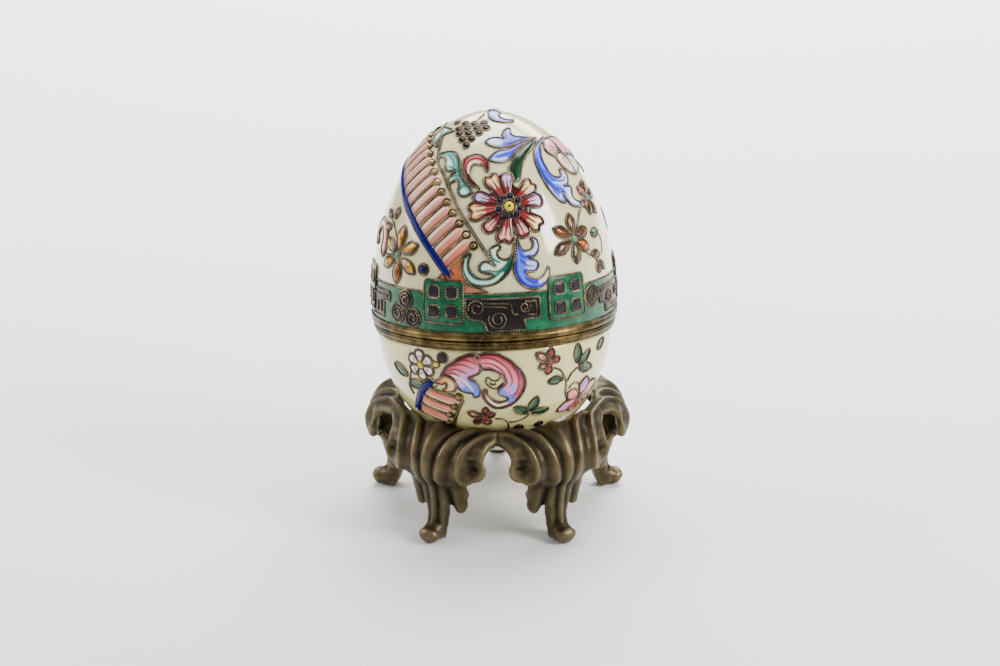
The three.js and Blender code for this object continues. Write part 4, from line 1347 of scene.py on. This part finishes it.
def crown_plume(bench, patch):
    """The blue and white leaves above the daisy and the green leaf that springs from it."""
    blue = [(7.6, 3.4), (5.6, 3.1), (4, 3.1), (3, 3.2), (2.4, 4), (2.6, 5.4), (2, 5.6), (1, 4.8),
            (0.4, 3.6), (0.4, 2.6), (0.6, 2.3), (0, 2.6), (-1.4, 2.9), (-2.6, 2.7), (-3.5, 2), (-3.2, 1.2),
            (-2, 0.2), (-0.6, -0.2), (0.8, 0), (2.4, 0.6), (4.6, 1.8)]
    strokes = [([(5.6, 2.6), (3.0, 1.8), (1.2, 2.6), (1.4, 4.4)], 0.45, ROYAL),
               ([(4.4, 2.2), (1.6, 1.2), (0.4, 1.2)], 0.5, ROYAL),
               ([(-0.2, 1.2), (-1.8, 1.2), (-2.8, 1.8)], 0.6, WHITE), ([(1.9, 4.0), (2.0, 5.0)], 0.35, ICE)]
    tones = [(0, ROYAL), (1.2, rgb(90, 110, 210)), (2.6, SKY), (4, ICE)]
    tint = from_edge([(7.6, 3.4), (4.6, 2.6), (2.4, 2.2)], tones, (0.2, ROYAL), strokes)
    bench.cell(patch, blue, tint, base=0.12, dome=0.2)
    lower = [(0.2, -0.8), (-1, -0.9), (-2.4, -1.6), (-3.6, -2.8), (-2.6, -3.6), (-1.2, -4), (0.2, -3.8),
             (1.2, -3), (2, -2), (3, -0.8), (4.4, 0.6), (6, 2), (7.2, 3.1), (5.2, 2.0), (3.2, 0.7),
             (1.6, -0.3)]
    strokes = [([(5.0, 1.6), (2.2, -0.6), (0.2, -2.0), (-2.0, -2.6)], 0.4, ROYAL),
               ([(0.4, -3.0), (-1.4, -3.3), (-2.8, -2.9)], 0.45, ICE)]
    tones = [(0, SKY), (0.8, rgb(100, 120, 215)), (1.8, SKY), (3, ICE)]
    tint = from_edge([(6, 2), (3, -0.8), (1.2, -3), (-1.2, -4)], tones, (0.2, ROYAL), strokes)
    bench.cell(patch, lower, tint, base=0.12, dome=0.2)
    green = [(1.2, -8.6), (0.4, -7.4), (0.2, -6), (0.6, -4.8), (1.4, -3.7), (2.6, -2), (4.4, 0), (6.2, 1.8),
             (7.6, 3.4), (8.2, 3.6), (7.4, 1.8), (6.4, 0), (5, -2), (3.8, -4), (3, -6), (2.4, -8.2)]
    strokes = [([(1.4, -8.0), (1.5, -5.8), (2.7, -3.6), (4.5, -1.2), (6.8, 1.8)], 1.25, LEAF_DARK)]
    tint = graded((1, -8), (8, 3), [(0, LEAF), (0.6, LEAF), (1, LEAF_DARK)], (0.3, LEAF), strokes)
    bench.cell(patch, green, tint, base=0.1, dome=0.2)


def lid_motifs(bench, turn, front):
    """The lid's flowers, turned round the egg by an angle."""
    daisy(bench, bench.patch(9.5 + turn, 28.5))
    lid_acanthus(bench, bench.patch(6 + turn, 17), front)
    turquoise_and_scroll(bench, bench.patch(-22 + turn, 35))
    side_scroll(bench, bench.patch(-77 + turn, 20))
    left_amber_flower(bench, bench.patch(-50 + turn, 18))
    right_amber_flower(bench, bench.patch(47 + turn, 20.5))
    if front:
        blue_plume(bench, bench.patch(46 + turn, 33))
        peony(bench, bench.patch(46 + turn, 33))
        brown_flower(bench, bench.patch(46 + turn, 33))
        grapes(bench, bench.patch(-25, 42))
        crown_curl(bench, bench.patch(-25, 42))
        crown_plume(bench, bench.patch(12, 40))
    else:
        blue_plume(bench, bench.patch(218, 32))
        brown_flower(bench, bench.patch(218, 32))
        grapes(bench, bench.patch(155, 39.5))
        crown_plume(bench, bench.patch(192, 38.4))
        right_amber_flower(bench, bench.patch(118, 34))
        patch = bench.patch(-112, 38.6)
        tones = [(0, TEAL_DARK), (0.5, TEAL), (0.8, TURQUOISE), (1, MIST)]
        bench.cell(patch, lobe((0.2, -4.4), (0.2, 4.8), 3.2, 0.5, 0.5),
                   graded((-1.2, 0), (1.5, 0), tones, (0.3, TEAL)), base=0.5, dome=0.3)


# The bowl's scroll and its flowers
def bowl_scroll(bench, patch):
    """The pink scroll under the seam."""
    left = [(-10.3, -1.3), (-9.7, 0.4), (-8.6, 2.2), (-7, 3.5), (-5.3, 4.6), (-3.5, 5.35), (-1.9, 5.4),
            (-1.2, 3.9), (-1, 2.2), (-1.5, 0.9), (-2.9, 0.1), (-3.7, -0.3), (-2.6, -0.9), (-1.8, -2.2),
            (-1.5, -3.5), (-1.9, -4.8), (-2.9, -5.1), (-3.3, -4.2), (-4.8, -4), (-6.2, -3.3), (-6.8, -2),
            (-7.7, -0.7), (-9.2, -0.4)]
    edge = [*left[:5], (-3.5, 5.3), (-2.2, 5.1)]
    strokes = [([(-2.4, -1.6), (-2.2, -3.4), (-2.5, -4.6)], 1.3, SKY),
               ([(-5.4, -3.3), (-3.6, -3.0), (-2.4, -2.6)], 1.0, SKY),
               ([(-8.2, 2), (-5.5, 2.8), (-2.7, 2)], 0.24, CRIMSON),
               ([(-8.4, 0.9), (-6.5, 1.6), (-4, 0.7)], 0.24, CRIMSON),
               ([(-7.2, 3.0), (-4.6, 3.9), (-2.2, 3.2)], 0.24, CRIMSON),
               ([(-9, 0.2), (-7, 0.5), (-4.8, -1)], 0.26, NAVY),
               ([(-7.4, 0.0), (-5.6, -0.6), (-4.0, -2.0), (-3.0, -3.4)], 0.4, WHITE),
               ([(-6.4, -1.4), (-5.0, -2.6)], 0.5, ICE)]
    tones = [(0, CRIMSON), (0.5, CRIMSON), (1.0, rgb(205, 105, 120)), (1.8, ROSE), (4, rgb(216, 178, 206)),
             (6, SKY)]
    bench.cell(patch, left, from_edge(edge, tones, (0.22, CRIMSON), strokes), base=0.12, dome=0.22)
    right = [(-2.6, 4.4), (-1.5, 5.3), (0.4, 5.7), (2.6, 5.5), (4.4, 4.4), (5.9, 3.1), (7.3, 1.3),
             (8.1, -0.4), (8.3, -2.2), (7.7, -4.2), (6.6, -5.9), (4.8, -7.5), (2.9, -8.1), (1.3, -7.9),
             (0, -6.8), (-0.9, -5.3), (-1.1, -4), (-0.7, -3.1), (0, -3.3), (0, -4.4), (0.9, -5.5),
             (2.2, -6.3), (3.5, -6.3), (4.4, -5.7), (4.2, -5.3), (2.9, -4.6), (2.3, -4), (2.6, -2.9),
             (3.3, -2.2), (3.9, -1.4), (3.6, -0.2), (2.6, 0.9), (0.9, 1.7), (-0.7, 1.8), (-1.6, 2.8)]
    strokes = [([(3.2, -3.2), (3.4, -4.4), (4.6, -5.4), (5.6, -5.2)], 1.4, SKY),
               ([(4.6, -2.0), (5.6, -2.6), (5.4, -4.2)], 1.0, LILAC),
               ([(-1.8, 4.4), (1.5, 4.3), (4.4, 2), (5.4, -1), (4.8, -2.6)], 0.26, CRIMSON),
               ([(-0.9, 3.4), (1.5, 3), (3.6, 1.2), (4, -0.8)], 0.24, CRIMSON),
               ([(-0.7, 2.5), (1, 2.3), (2.8, 0.8), (3.4, -0.6)], 0.24, rgb(150, 60, 70)),
               ([(5.4, 2.6), (6.7, 0.2), (6.6, -3.0), (5.2, -5.6)], 0.28, CRIMSON),
               ([(7, 2), (6.9, -1.5), (6, -4), (4.6, -4.9)], 0.2, rgb(150, 90, 150)),
               ([(-0.2, -4.2), (0.4, -5.9), (2.0, -7.1), (4.2, -6.7)], 0.35, WHITE),
               ([(0.8, 3.9), (3.6, 2.2), (4.9, -0.4)], 0.3, rgb(236, 196, 204))]
    tones = [(0, CRIMSON), (0.45, CRIMSON), (0.9, rgb(198, 96, 110)), (1.6, ROSE),
             (3.2, rgb(224, 176, 190)), (5, LILAC)]
    bench.cell(patch, right, from_edge(right[:15], tones, (0.22, CRIMSON), strokes), base=0.14, dome=0.22)
    curl = [(3.6, -1.6), (3.1, -2.0), (2, -2.9), (0.9, -2.6), (0, -1.8), (-0.2, -0.7), (0.2, -0.1),
            (1.1, -0.7), (2, -1), (2.8, -0.4), (3, 0.4)]
    bench.stem(patch, curl)
    bench.stem(patch, [(0.6, -1.4), (1.2, -1.9), (2.0, -1.7)])


def white_daisy(bench, patch):
    """The small white flower on the bowl with its leaves."""
    centre = np.array([1.5, 0.8])
    for k in range(6):
        tip = turned_path([(3.6, 0)], 30 + 60 * k, centre)[0]
        base = turned_path([(0.5, 0)], 30 + 60 * k, centre)[0]
        tint = graded(base, tip, [(0, YELLOW), (0.25, WHITE), (1, WHITE)], (0.2, rgb(120, 110, 130)),
                      [([base + (tip - base) * 0.42, base + (tip - base) * 0.56], 0.42, rgb(50, 34, 70))])
        bench.cell(patch, round_petal(base, tip, 2.5), tint, base=0.1, dome=0.2)
    dome(bench.beads, patch, centre, 0.9, 0.6, YELLOW, 16)
    collar(bench.wires, patch, centre, 1.0, 0.15, 0.2)
    tint = graded((4.5, 1), (6.4, 1.4), [(0, LEMON), (1, YELLOW)])
    bench.cell(patch, lobe((4.5, 1.0), (6.5, 1.5), 1.5, 0.5, 0.5), tint)
    bench.bead(patch, (7.4, 2.9), 1.15, rgb(70, 60, 64), 0.35)
    leaf(bench, patch, (-3.4, -2.4), (-7.6, -0.5), 2.7)
    leaf(bench, patch, (-3.4, -4.5), (1.5, -4.0), 2.5)
    bench.stem(patch, [(0.2, -0.9), (-1.6, -0.8), (-2.7, -2.9), (-3.7, -5.1), (-3.2, -7.2)])


def red_flower(bench, patch, centre, petals, stem, leaves):
    """A small red flower with pale and red petals, a stem and green leaves."""
    for tip, width, light, dark in petals:
        base = np.asarray(centre) + (np.asarray(tip) - centre) * 0.12
        tint = graded(base, tip, [(0, dark), (0.45, light), (1, light)], (0.28, CRIMSON),
                      [([base, base + (np.asarray(tip) - base) * 0.6], 0.25, CRIMSON)])
        bench.cell(patch, lobe(base, tip, width, 0.62, 0.3), tint, base=0.1, dome=0.2)
    bench.bead(patch, centre, 0.55, SCARLET, 0.5)
    for path in stem:
        bench.stem(patch, path)
    for base, tip, width in leaves:
        leaf(bench, patch, base, tip, width)


def lotus(bench, patch):
    """The large pink and blue flower low on the bowl."""
    petals = [((-0.6, 0.2), (-4.4, 1.8), 2.8, PALE_ROSE, SCARLET),
              ((-0.7, -0.6), (-5.2, -3.2), 2.8, LILAC, ROSE),
              ((0.0, -0.8), (-1.0, -3.9), 2.9, rgb(214, 110, 120), CRIMSON),
              ((0.5, 0.8), (0.6, 5.0), 3.2, SKY, LILAC), ((0.9, 0.2), (5.6, 2.8), 3.3, PALE_ROSE, ROSE),
              ((0.8, -0.6), (5.2, -2.4), 2.9, rgb(180, 160, 90), OLIVE)]
    for base, tip, width, light, dark in petals:
        base, tip = np.array(base), np.array(tip)
        veins = [([base, base + (tip - base) * 0.7], 0.22, dark)]
        tint = graded(base, tip, [(0, dark), (0.4, mixed(dark, light, 0.6)), (0.8, light)], (0.22, ROSE),
                      veins)
        bench.cell(patch, lobe(base, tip, width, 0.62, 0.4), tint, base=0.12, dome=0.24)
    bench.bead(patch, (0, 0), 1.0, OLIVE, 0.5)


PALE = rgb(228, 200, 180)


def side_sprays(bench, turn):
    """The red flowers with their sprays of leaves on the bowl."""
    red_flower(bench, bench.patch(42 + turn, -7), (-6.4, 1.2),
               [((-9.7, 3.6), 2.0, PALE, ROSE), ((-6.3, 4.7), 1.8, rgb(190, 96, 70), CRIMSON),
                ((-8.9, 0.0), 1.7, PALE, ROSE), ((-6.6, -1.6), 1.8, rgb(205, 120, 90), CRIMSON),
                ((-4.0, 2.2), 1.8, rgb(214, 110, 96), CRIMSON)],
               [[(-5.2, -0.1), (-3.6, -0.8), (-2.2, -2.4), (-1.2, -4.4), (-0.6, -7), (0.8, -9.2)],
                [(-1, -4), (-0.2, -2.2), (1.4, -1)], [(0, -6), (0.8, -5), (2.4, -5), (3.6, -6.2)]],
               [((-2.4, -2.9), (-6.2, -3.4), 2.1), ((1.2, 0.2), (0.8, 4.6), 2.3),
                ((1.8, -0.6), (5.0, 2.4), 2.1), ((2.0, -1.2), (6.6, -2.2), 2.3),
                ((8.0, 1.6), (10.6, 3.4), 2.0)])
    lotus(bench, bench.patch(53 + turn, -15.5))
    patch = bench.patch(8 + turn, -16)
    red_flower(bench, patch, (-5.4, -2.5),
               [((-9.0, -1.8), 1.8, PALE, ROSE), ((-5.2, 0.4), 1.5, rgb(214, 120, 100), CRIMSON),
                ((-3.2, -1.2), 1.6, rgb(206, 90, 90), CRIMSON), ((-4.4, -4.9), 2.0, ROSE, SCARLET),
                ((-7.4, -5.0), 1.7, rgb(150, 70, 60), CRIMSON)],
               [[(-3.1, -2.9), (-1.6, -2.9), (-0.4, -4), (0, -5.4), (-0.2, -6.8)],
                [(0, -4), (1.6, -4), (3.4, -3.2), (4.3, -2.2)]],
               [((4.0, -1.6), (0.8, 0.4), 2.3), ((4.4, -1.6), (6.0, 2.6), 2.2),
                ((4.8, -2.0), (8.8, -1.9), 2.2)])
    bench.bead(patch, (2.3, -6.1), 0.85, rgb(50, 34, 34), 0.4)
    bench.bead(patch, (6.8, -6.3), 0.8, rgb(40, 40, 34), 0.4)


def bowl_motifs(bench, turn):
    bowl_scroll(bench, bench.patch(-4 + turn, -8))
    white_daisy(bench, bench.patch(-42 + turn, -7))
    side_sprays(bench, turn)


def flowers():
    lid = Bench(LID)
    lid_motifs(lid, 0, True)
    lid_motifs(lid, 180, False)
    lid.finish("lid", "lid_enamel")
    bowl = Bench(BOWL)
    bowl_motifs(bowl, 0)
    bowl_motifs(bowl, 180)
    patch = bowl.patch(-36, -14)
    tint = graded((2.6, 5), (6.8, 2.4), [(0, TAN), (0.5, LEMON), (1, WHITE)], (0.25, ORANGE))
    bowl.cell(patch,
              [(1.6, 4.4), (2.9, 5.2), (4.2, 6.1), (6.1, 5.4), (6.9, 3.8), (6.1, 2.2), (4.2, 1.9),
               (3.2, 2.6), (4.2, 3), (4.6, 4.2), (3.4, 3.9)], tint)
    bowl.finish("bowl", "bowl_enamel")


# Stand: a cast ring with five legs, worked out as relief over a curved sheet and fused into one casting
LEG_AZIMUTHS = [-32.4, 32.4, 107.2, 180, 252.8]
SEAT_HEIGHT = 26.53
SEAT_RADIUS = 21.3
BULGE_RADIUS = 29.4
BULGE_DROP = 7.5
HEM_RADIUS = 26.8
HEM_DROP = 12.5
ANKLE_RADIUS = 25.9
ANKLE_HEIGHT = 5.2
CASTING_WALL = 1.8
LEAF_LEAN = math.tan(math.radians(8))
SIDE_SCALE = 28.2
VOXEL = 0.36
# Stand tints from the deepest hollows to the crests: brown patina and painted shade in the hollows, worn
# bright metal on the crests.
PATINA_AND_SHADE = [(0, (0.012, 0.009, 0.005)), (0.4, (0.056, 0.043, 0.024)), (0.68, (0.078, 0.06, 0.032)),
          (1, (0.13, 0.1, 0.052))]
HOLLOW_WEIGHTS = {2: 1.4, 11: 0.7}


def casting_section():
    """Radius and height along the casting's outer face, from the seat over the bulge and down the leg."""
    over = np.radians(np.linspace(0, 90, 40))
    shoulder = np.stack([SEAT_RADIUS + (BULGE_RADIUS - SEAT_RADIUS) * np.sin(over),
                         SEAT_HEIGHT - BULGE_DROP + BULGE_DROP * np.cos(over)], -1)
    share = np.linspace(0, 1, 20)[1:]
    below = np.stack([BULGE_RADIUS - (BULGE_RADIUS - HEM_RADIUS) * share ** 2,
                      SEAT_HEIGHT - BULGE_DROP - (HEM_DROP - BULGE_DROP) * share], -1)
    shank = smooth([(HEM_RADIUS, SEAT_HEIGHT - HEM_DROP), (26.1, 10.4), (ANKLE_RADIUS - 0.1, 7.4),
                    (ANKLE_RADIUS, ANKLE_HEIGHT), (26.5, 3.2), (27.3, 1.7)])[1:]
    section = np.vstack([shoulder, below, shank])
    return section, lengths_along(section)


SECTION, SECTION_ALONG = casting_section()


def casting_points(azimuth, flat, out):
    """Points of the casting from sideways and downward millimetres, moved out from its face."""
    radius = np.interp(flat[:, 1], SECTION_ALONG, SECTION[:, 0])
    height = np.interp(flat[:, 1], SECTION_ALONG, SECTION[:, 1])
    step = 0.2
    ahead = np.stack([np.interp(flat[:, 1] + step, SECTION_ALONG, SECTION[:, i]) for i in (0, 1)], -1)
    behind = np.stack([np.interp(flat[:, 1] - step, SECTION_ALONG, SECTION[:, i]) for i in (0, 1)], -1)
    down = unit(ahead - behind)
    radius = radius - down[:, 1] * out
    height = height + down[:, 0] * out
    turn = math.radians(azimuth) + flat[:, 0] / SIDE_SCALE
    return np.stack([radius * np.sin(turn), -radius * np.cos(turn), height], -1)


# Lines of the right half of a leg, as sideways and downward millimetres
VOLUTE_EDGE = [(14.0, 6.3), (12.9, 9.4), (13.5, 11.6), (13.1, 13.9), (11.8, 15.3), (9.4, 16.1), (8.0, 16.6)]
LEAF_EDGE = [(8.5, 18.0), (8.2, 19.4), (8.6, 21.2), (8.0, 22.6), (8.1, 24.0), (7.2, 25.3), (5.8, 25.7),
             (4.6, 25.0), (3.8, 23.9), (3.0, 24.2)]
SHANK_EDGE = [(2.75, 25.0), (2.5, 26.5), (2.4, 29.0), (2.5, 31.5)]
INNER_RIDGE = [(13.5, 2.9), (10.8, 4.4), (8.8, 6.8), (7.7, 9.8), (7.3, 12.6), (7.9, 14.9), (9.6, 15.9)]
OUTER_RIDGE = [(12.5, 0.9), (9.0, 1.5), (6.2, 3.3), (4.4, 6.2), (3.4, 9.4), (2.8, 12.6), (2.5, 15.6),
               (3.4, 18.0)]
CREST_GROOVE = [(7.6, 0.5), (4.9, 2.6), (3.1, 5.6), (2.1, 9.0), (1.6, 12.5), (1.3, 16.0), (1.15, 20),
                (1.1, 26), (1.2, 29.5)]
SIDE_GROOVE = [(10.5, 2.6), (7.6, 4.6), (5.9, 8.2), (5.1, 12), (5.0, 15)]
DISH_CENTRE = (10.6, 11.0)
DISH_SIZE = (3.0, 4.6)
LEAF_START = 15.5


def leg_outline(half_left, half_right):
    """Outline of the sheet of one leg with its volutes, from the middle of one arch to that of the next."""
    right = [(half_right, 4.2), *VOLUTE_EDGE, *LEAF_EDGE, *SHANK_EDGE]
    left = [(-x, y) for x, y in [(half_left, 4.2), *VOLUTE_EDGE, *LEAF_EDGE, *SHANK_EDGE]][::-1]
    line = np.vstack([smooth(right), smooth(left)])
    return np.vstack([[(half_right, 0.0)], line, [(-half_left, 0.0)]])


def ridge(points, line, height, width):
    """Relief along a smooth line: a ridge, or a groove where its height is below zero."""
    distance, _ = path_distance(points, smooth(line))
    return height * np.exp(-(distance / width) ** 2)


def casting_relief(flat, depth):
    """How far the relief of one leg stands out from the face of the casting."""
    mirrored = np.stack([np.abs(flat[:, 0]), flat[:, 1]], -1)
    aside, down = mirrored.T
    relief = ridge(mirrored, [(19, 2.3), *INNER_RIDGE], 0.75, 0.62)
    relief += ridge(mirrored, OUTER_RIDGE, 0.55, 1.0)
    relief += ridge(mirrored, CREST_GROOVE, -0.6, 0.6)
    relief += 0.85 * np.exp(-(aside / 1.7) ** 2)
    dish = np.hypot((aside - DISH_CENTRE[0]) / DISH_SIZE[0], (down - DISH_CENTRE[1]) / DISH_SIZE[1])
    relief -= 1.5 * fade(dish, 1.0)
    relief += ridge(mirrored, SIDE_GROOVE, -0.45, 1.1)
    hammer = np.array([noise.noise(Vector((x * 1.1, y * 1.1, 3.0))) for x, y in mirrored])
    shell = fade(dish, 1.35)
    relief += 0.3 * hammer * (0.25 + shell)
    leaf = np.clip((aside - 2.9) / 1.2, 0, 1) * np.clip((down - LEAF_START) / 3, 0, 1)
    leaf_line, _ = path_distance(mirrored, np.array([(4.6, 16.5), (5.6, 20), (6.0, 25.0)]))
    relief += leaf * (-0.5 - LEAF_LEAN * (down - LEAF_START) + 0.9 * np.exp(-(leaf_line / 1.5) ** 2))
    return relief - 0.55 * fade(depth, 0.8)


def casting_thickness(flat):
    aside, down = np.abs(flat[:, 0]), flat[:, 1]
    shank = np.exp(-(aside / 3.2) ** 4) * np.clip((down - 8) / 8, 0, 1)
    return CASTING_WALL + 1.6 * shank


def leg_sheet(piece, azimuth, half_left, half_right):
    outline = even(leg_outline(half_left, half_right), 0.4, True)
    flat, faces, depth = fill(outline, 0.42)
    relief = casting_relief(flat, depth)
    top = casting_points(azimuth, flat, relief)
    under = casting_points(azimuth, flat, -casting_thickness(flat) + np.minimum(relief, 0) * 0.6)
    count = len(flat)
    all_faces = faces[:, ::-1].tolist() + (faces + count).tolist()
    for loop in edge_loops(faces):
        for k, corner in enumerate(loop):
            after = loop[(k + 1) % len(loop)]
            all_faces.append([corner, after, after + count, corner + count])
    piece.add(np.vstack([top, under]), all_faces)


def ball(piece, azimuth, radius, height, sizes, tilt=0.0):
    """A smooth lump at a place on a leg: half sizes are sideways, up and outwards."""
    rows, columns = 12, 20
    polar = np.linspace(0.12, np.pi - 0.12, rows)[:, None]
    turn = np.linspace(0, 2 * np.pi, columns, endpoint=False)[None]
    local = np.stack([np.sin(polar) * np.cos(turn), np.cos(polar) + 0 * turn, np.sin(polar) * np.sin(turn)],
                     -1)
    local = local.reshape(-1, 3) * sizes
    lean = math.radians(tilt)
    up = local[:, 1] * math.cos(lean) + local[:, 2] * math.sin(lean)
    outward = local[:, 2] * math.cos(lean) - local[:, 1] * math.sin(lean)
    angle = math.radians(azimuth)
    sideways = np.array([math.cos(angle), math.sin(angle), 0])
    away = np.array([math.sin(angle), -math.cos(angle), 0])
    upward = (height + up)[:, None] * np.array([0, 0, 1.0])
    points = local[:, :1] * sideways + (radius + outward)[:, None] * away + upward
    faces = grid_faces(rows, columns, False, True)[:, ::-1].tolist()
    faces += [list(range(columns)), [rows * columns - 1 - i for i in range(columns)]]
    piece.add(points, faces)


def toe(piece, azimuth):
    """A scrolled foot: a broad pad, a round toe and a dent behind it."""
    ball(piece, azimuth, 26.6, 2.3, (2.35, 2.2, 1.9), 0)
    ball(piece, azimuth, 28.1, 2.0, (2.5, 1.9, 1.6), 0)
    ball(piece, azimuth, 29.0, 2.5, (2.2, 1.4, 0.9), 20)


def stand_place(points):
    """Points measured from the stand's own axis, in the part's frame."""
    return points + np.array([0, egg_centre[1], 0])


def neighbour_mean(values, edges, counts):
    total = np.zeros_like(values)
    for i in range(values.shape[1]):
        total[:, i] += np.bincount(edges[:, 0], values[edges[:, 1], i], len(values))
        total[:, i] += np.bincount(edges[:, 1], values[edges[:, 0], i], len(values))
    return total / counts[:, None]


def fused(source, voxel):
    """The parts of a casting fused into one even mesh."""
    piece = in_scene("fusing", source)
    remesh = piece.modifiers.new("fuse", "REMESH")
    remesh.mode = "VOXEL"
    remesh.voxel_size = voxel * MM
    seen = piece.evaluated_get(bpy.context.evaluated_depsgraph_get())
    mesh = bpy.data.meshes.new_from_object(seen)
    bpy.data.objects.remove(piece)
    return mesh


def values_of(items, name, width, kind=float):
    """A value of all corners or edges of a mesh, as one row each."""
    values = np.empty(len(items) * width, kind)
    items.foreach_get(name, values)
    return values.reshape(-1, width)


def raw_stand():
    """The legs and toes as one mesh of overlapping parts."""
    raw = Piece(stand_place)
    order = sorted(LEG_AZIMUTHS)
    for i, azimuth in enumerate(order):
        before = order[i - 1] - (360 if i == 0 else 0)
        after = order[(i + 1) % len(order)] + (360 if i == len(order) - 1 else 0)
        halves = [math.radians((azimuth - before) / 2) * SIDE_SCALE + 0.3,
                  math.radians((after - azimuth) / 2) * SIDE_SCALE + 0.3]
        leg_sheet(raw, azimuth, *halves)
        toe(raw, azimuth)
    mesh = bpy.data.meshes.new("raw_stand")
    mesh.from_pydata((raw.place(np.vstack(raw.points)) * MM).tolist(), [], raw.faces)
    return mesh


def stand():
    """The stand as one casting, worn smooth, with brown patina and painted shade in its hollows."""
    mesh = fused(raw_stand(), VOXEL)
    points = values_of(mesh.vertices, "co", 3) / MM
    edges = values_of(mesh.edges, "vertices", 2, int)
    counts = np.maximum(np.bincount(edges.ravel(), minlength=len(points)), 1)
    for _ in range(2):
        points = 0.5 * points + 0.5 * neighbour_mean(points, edges, counts)
    points = clear_of_egg(points)
    points[:, 2] = np.maximum(points[:, 2], 0)
    mesh.vertices.foreach_set("co", (points * MM).ravel())
    mesh.update()
    normals = values_of(mesh.vertices, "normal", 3)
    even_points = points
    hollow = np.zeros(len(points))
    for step in range(12):
        even_points = neighbour_mean(even_points, edges, counts)
        if step in HOLLOW_WEIGHTS:
            hollow += ((even_points - points) * normals).sum(1) * HOLLOW_WEIGHTS[step]
    # Patina and painted shade: the more hollow a point, the darker its tint.
    tints = ramp(np.clip(0.42 - hollow * 2.4, 0, 1), PATINA_AND_SHADE)
    finish_piece("cast_stand", mesh, tints, brass_finish(), "stand_brass", "stand")


def clear_of_egg(points):
    """Points of the casting kept clear of the bowl that rests in it."""
    local = (points - egg_centre) @ EGG_AXES.T
    space = Shell(BOWL_RADIUS + REST_GAP, BOWL_DEPTH + REST_GAP, 2, 0.5, -1)
    value, _ = space.level(local)
    near = (value < 0) & (local[:, 2] < 0) & (value > -0.6)
    moved, _ = space.settle(local[near])
    points = points.copy()
    points[near] = from_egg(moved)
    return points


def brass_finish():
    """Aged cast brass: its tint is brown in the hollows, from patina and painted shade, and bright on what
    hands rub.
    """
    shader = Shader("aged_brass", metallic=0.92)
    tint = shader.attribute("Tint").outputs["Color"]
    patch = shader.spread(shader.grain(3.5, 5), 0.38, 0.68)
    fine = shader.spread(shader.grain(0.45, 3), 0.35, 0.72)
    stained = shader.blend(shader.spread(patch, 0, 1, 0.0, 0.55), tint, (0.6, 0.62, 0.5), "MULTIPLY")
    shader.set("Base Color",
               shader.blend(shader.spread(fine, 0, 1, 0, 0.3), stained, (0.55, 0.5, 0.4), "OVERLAY"))
    shader.set("Roughness", shader.spread(fine, 0, 1, 0.52, 0.34))
    shader.bump(shader.grain(0.6, 4), 0.07, 0.7)
    return shader.material


# Camera, light and floor
CAMERA_ELEVATION = 22
CAMERA_DISTANCE = 0.7


def aimed(name, data, place, way):
    """A camera or light at a place that looks along a way."""
    made = in_scene(name, data)
    made.location = place
    made.rotation_mode = "QUATERNION"
    made.rotation_quaternion = way.to_track_quat("-Z", "Y")
    return made


def camera_and_light():
    target = Vector((0.59, -0.69, 40.42)) * MM
    elevation = math.radians(CAMERA_ELEVATION)
    back = Vector((0, -math.cos(elevation), math.sin(elevation)))
    data = bpy.data.cameras.new("camera")
    data.lens = 112.9
    data.sensor_width = 36
    data.clip_start = 0.01
    bpy.context.scene.camera = aimed("camera", data, target + back * CAMERA_DISTANCE, -back)
    area("key_softbox", (0.5, -0.22, 0.36), 0.2, 0.28, 6.0, target)
    area("left_softbox", (-0.6, 0.05, 0.36), 0.4, 0.4, 4.0, target)
    area("top_softbox", (0.05, 0.32, 0.72), 0.7, 0.4, 13.0, target)
    area("back_softbox", (0.1, 0.75, 0.5), 0.8, 0.3, 10.0, Vector((0, 0.4, 0)))
    area("front_fill", (-0.2, -1.4, 1.4), 1.6, 1.2, 8.0, target)
    world = bpy.data.worlds.new("studio")
    world.use_nodes = True
    world.node_tree.nodes["Background"].inputs["Color"].default_value = (0.95, 0.97, 1.0, 1)
    world.node_tree.nodes["Background"].inputs["Strength"].default_value = 0.42
    bpy.context.scene.world = world


def area(name, place, width, height, power, target):
    data = bpy.data.lights.new(name, "AREA")
    data.shape = "RECTANGLE"
    data.size = width
    data.size_y = height
    data.energy = power
    aimed(name, data, place, target - Vector(place))


def floor():
    """A pale sweep: flat under the object and curving up far behind it, with painted shade that darkens it
    towards the front.
    """
    depth, bend, width = 2.4, 0.9, 4.0
    rows = [(-2.0, 0.0), (0.0, 0.0), (depth, 0.0)]
    rows += [(depth + bend * math.sin(a),
              bend * (1 - math.cos(a))) for a in np.radians(np.arange(6, 91, 6))]
    rows.append((depth + bend, 4.0))
    points = [(x, y, z) for y, z in rows for x in (-width, width)]
    mesh = bpy.data.meshes.new("floor")
    mesh.from_pydata(points, [], grid_faces(len(rows), 2)[:, ::-1].tolist())
    mesh.polygons.foreach_set("use_smooth", [True] * len(mesh.polygons))
    stage = in_scene("floor", mesh)
    shader = Shader("floor_paper", roughness=0.85)
    place = shader.feed(shader.node("SeparateXYZ"), Vector=shader.place)
    # Painted shade: the paper darkens from far behind the object towards the camera, in place of the light's
    # fall-off and the object's soft shadow.
    distance = shader.spread(place.outputs["Y"], -0.3, 0.45)
    paper_with_painted_shade = shader.blend(distance, (0.47, 0.47, 0.46), (0.98, 0.98, 0.98))
    shader.set("Base Color",
               shader.blend(shader.spread(shader.grain(60, 2), 0.3, 0.7, 0, 0.06), paper_with_painted_shade, (0.9, 0.9, 0.9),
                            "MULTIPLY"))
    mesh.materials.append(shader.material)


camera_and_light()
floor()
stand()
egg_shells()
rims()
frieze()
bands()
flowers()
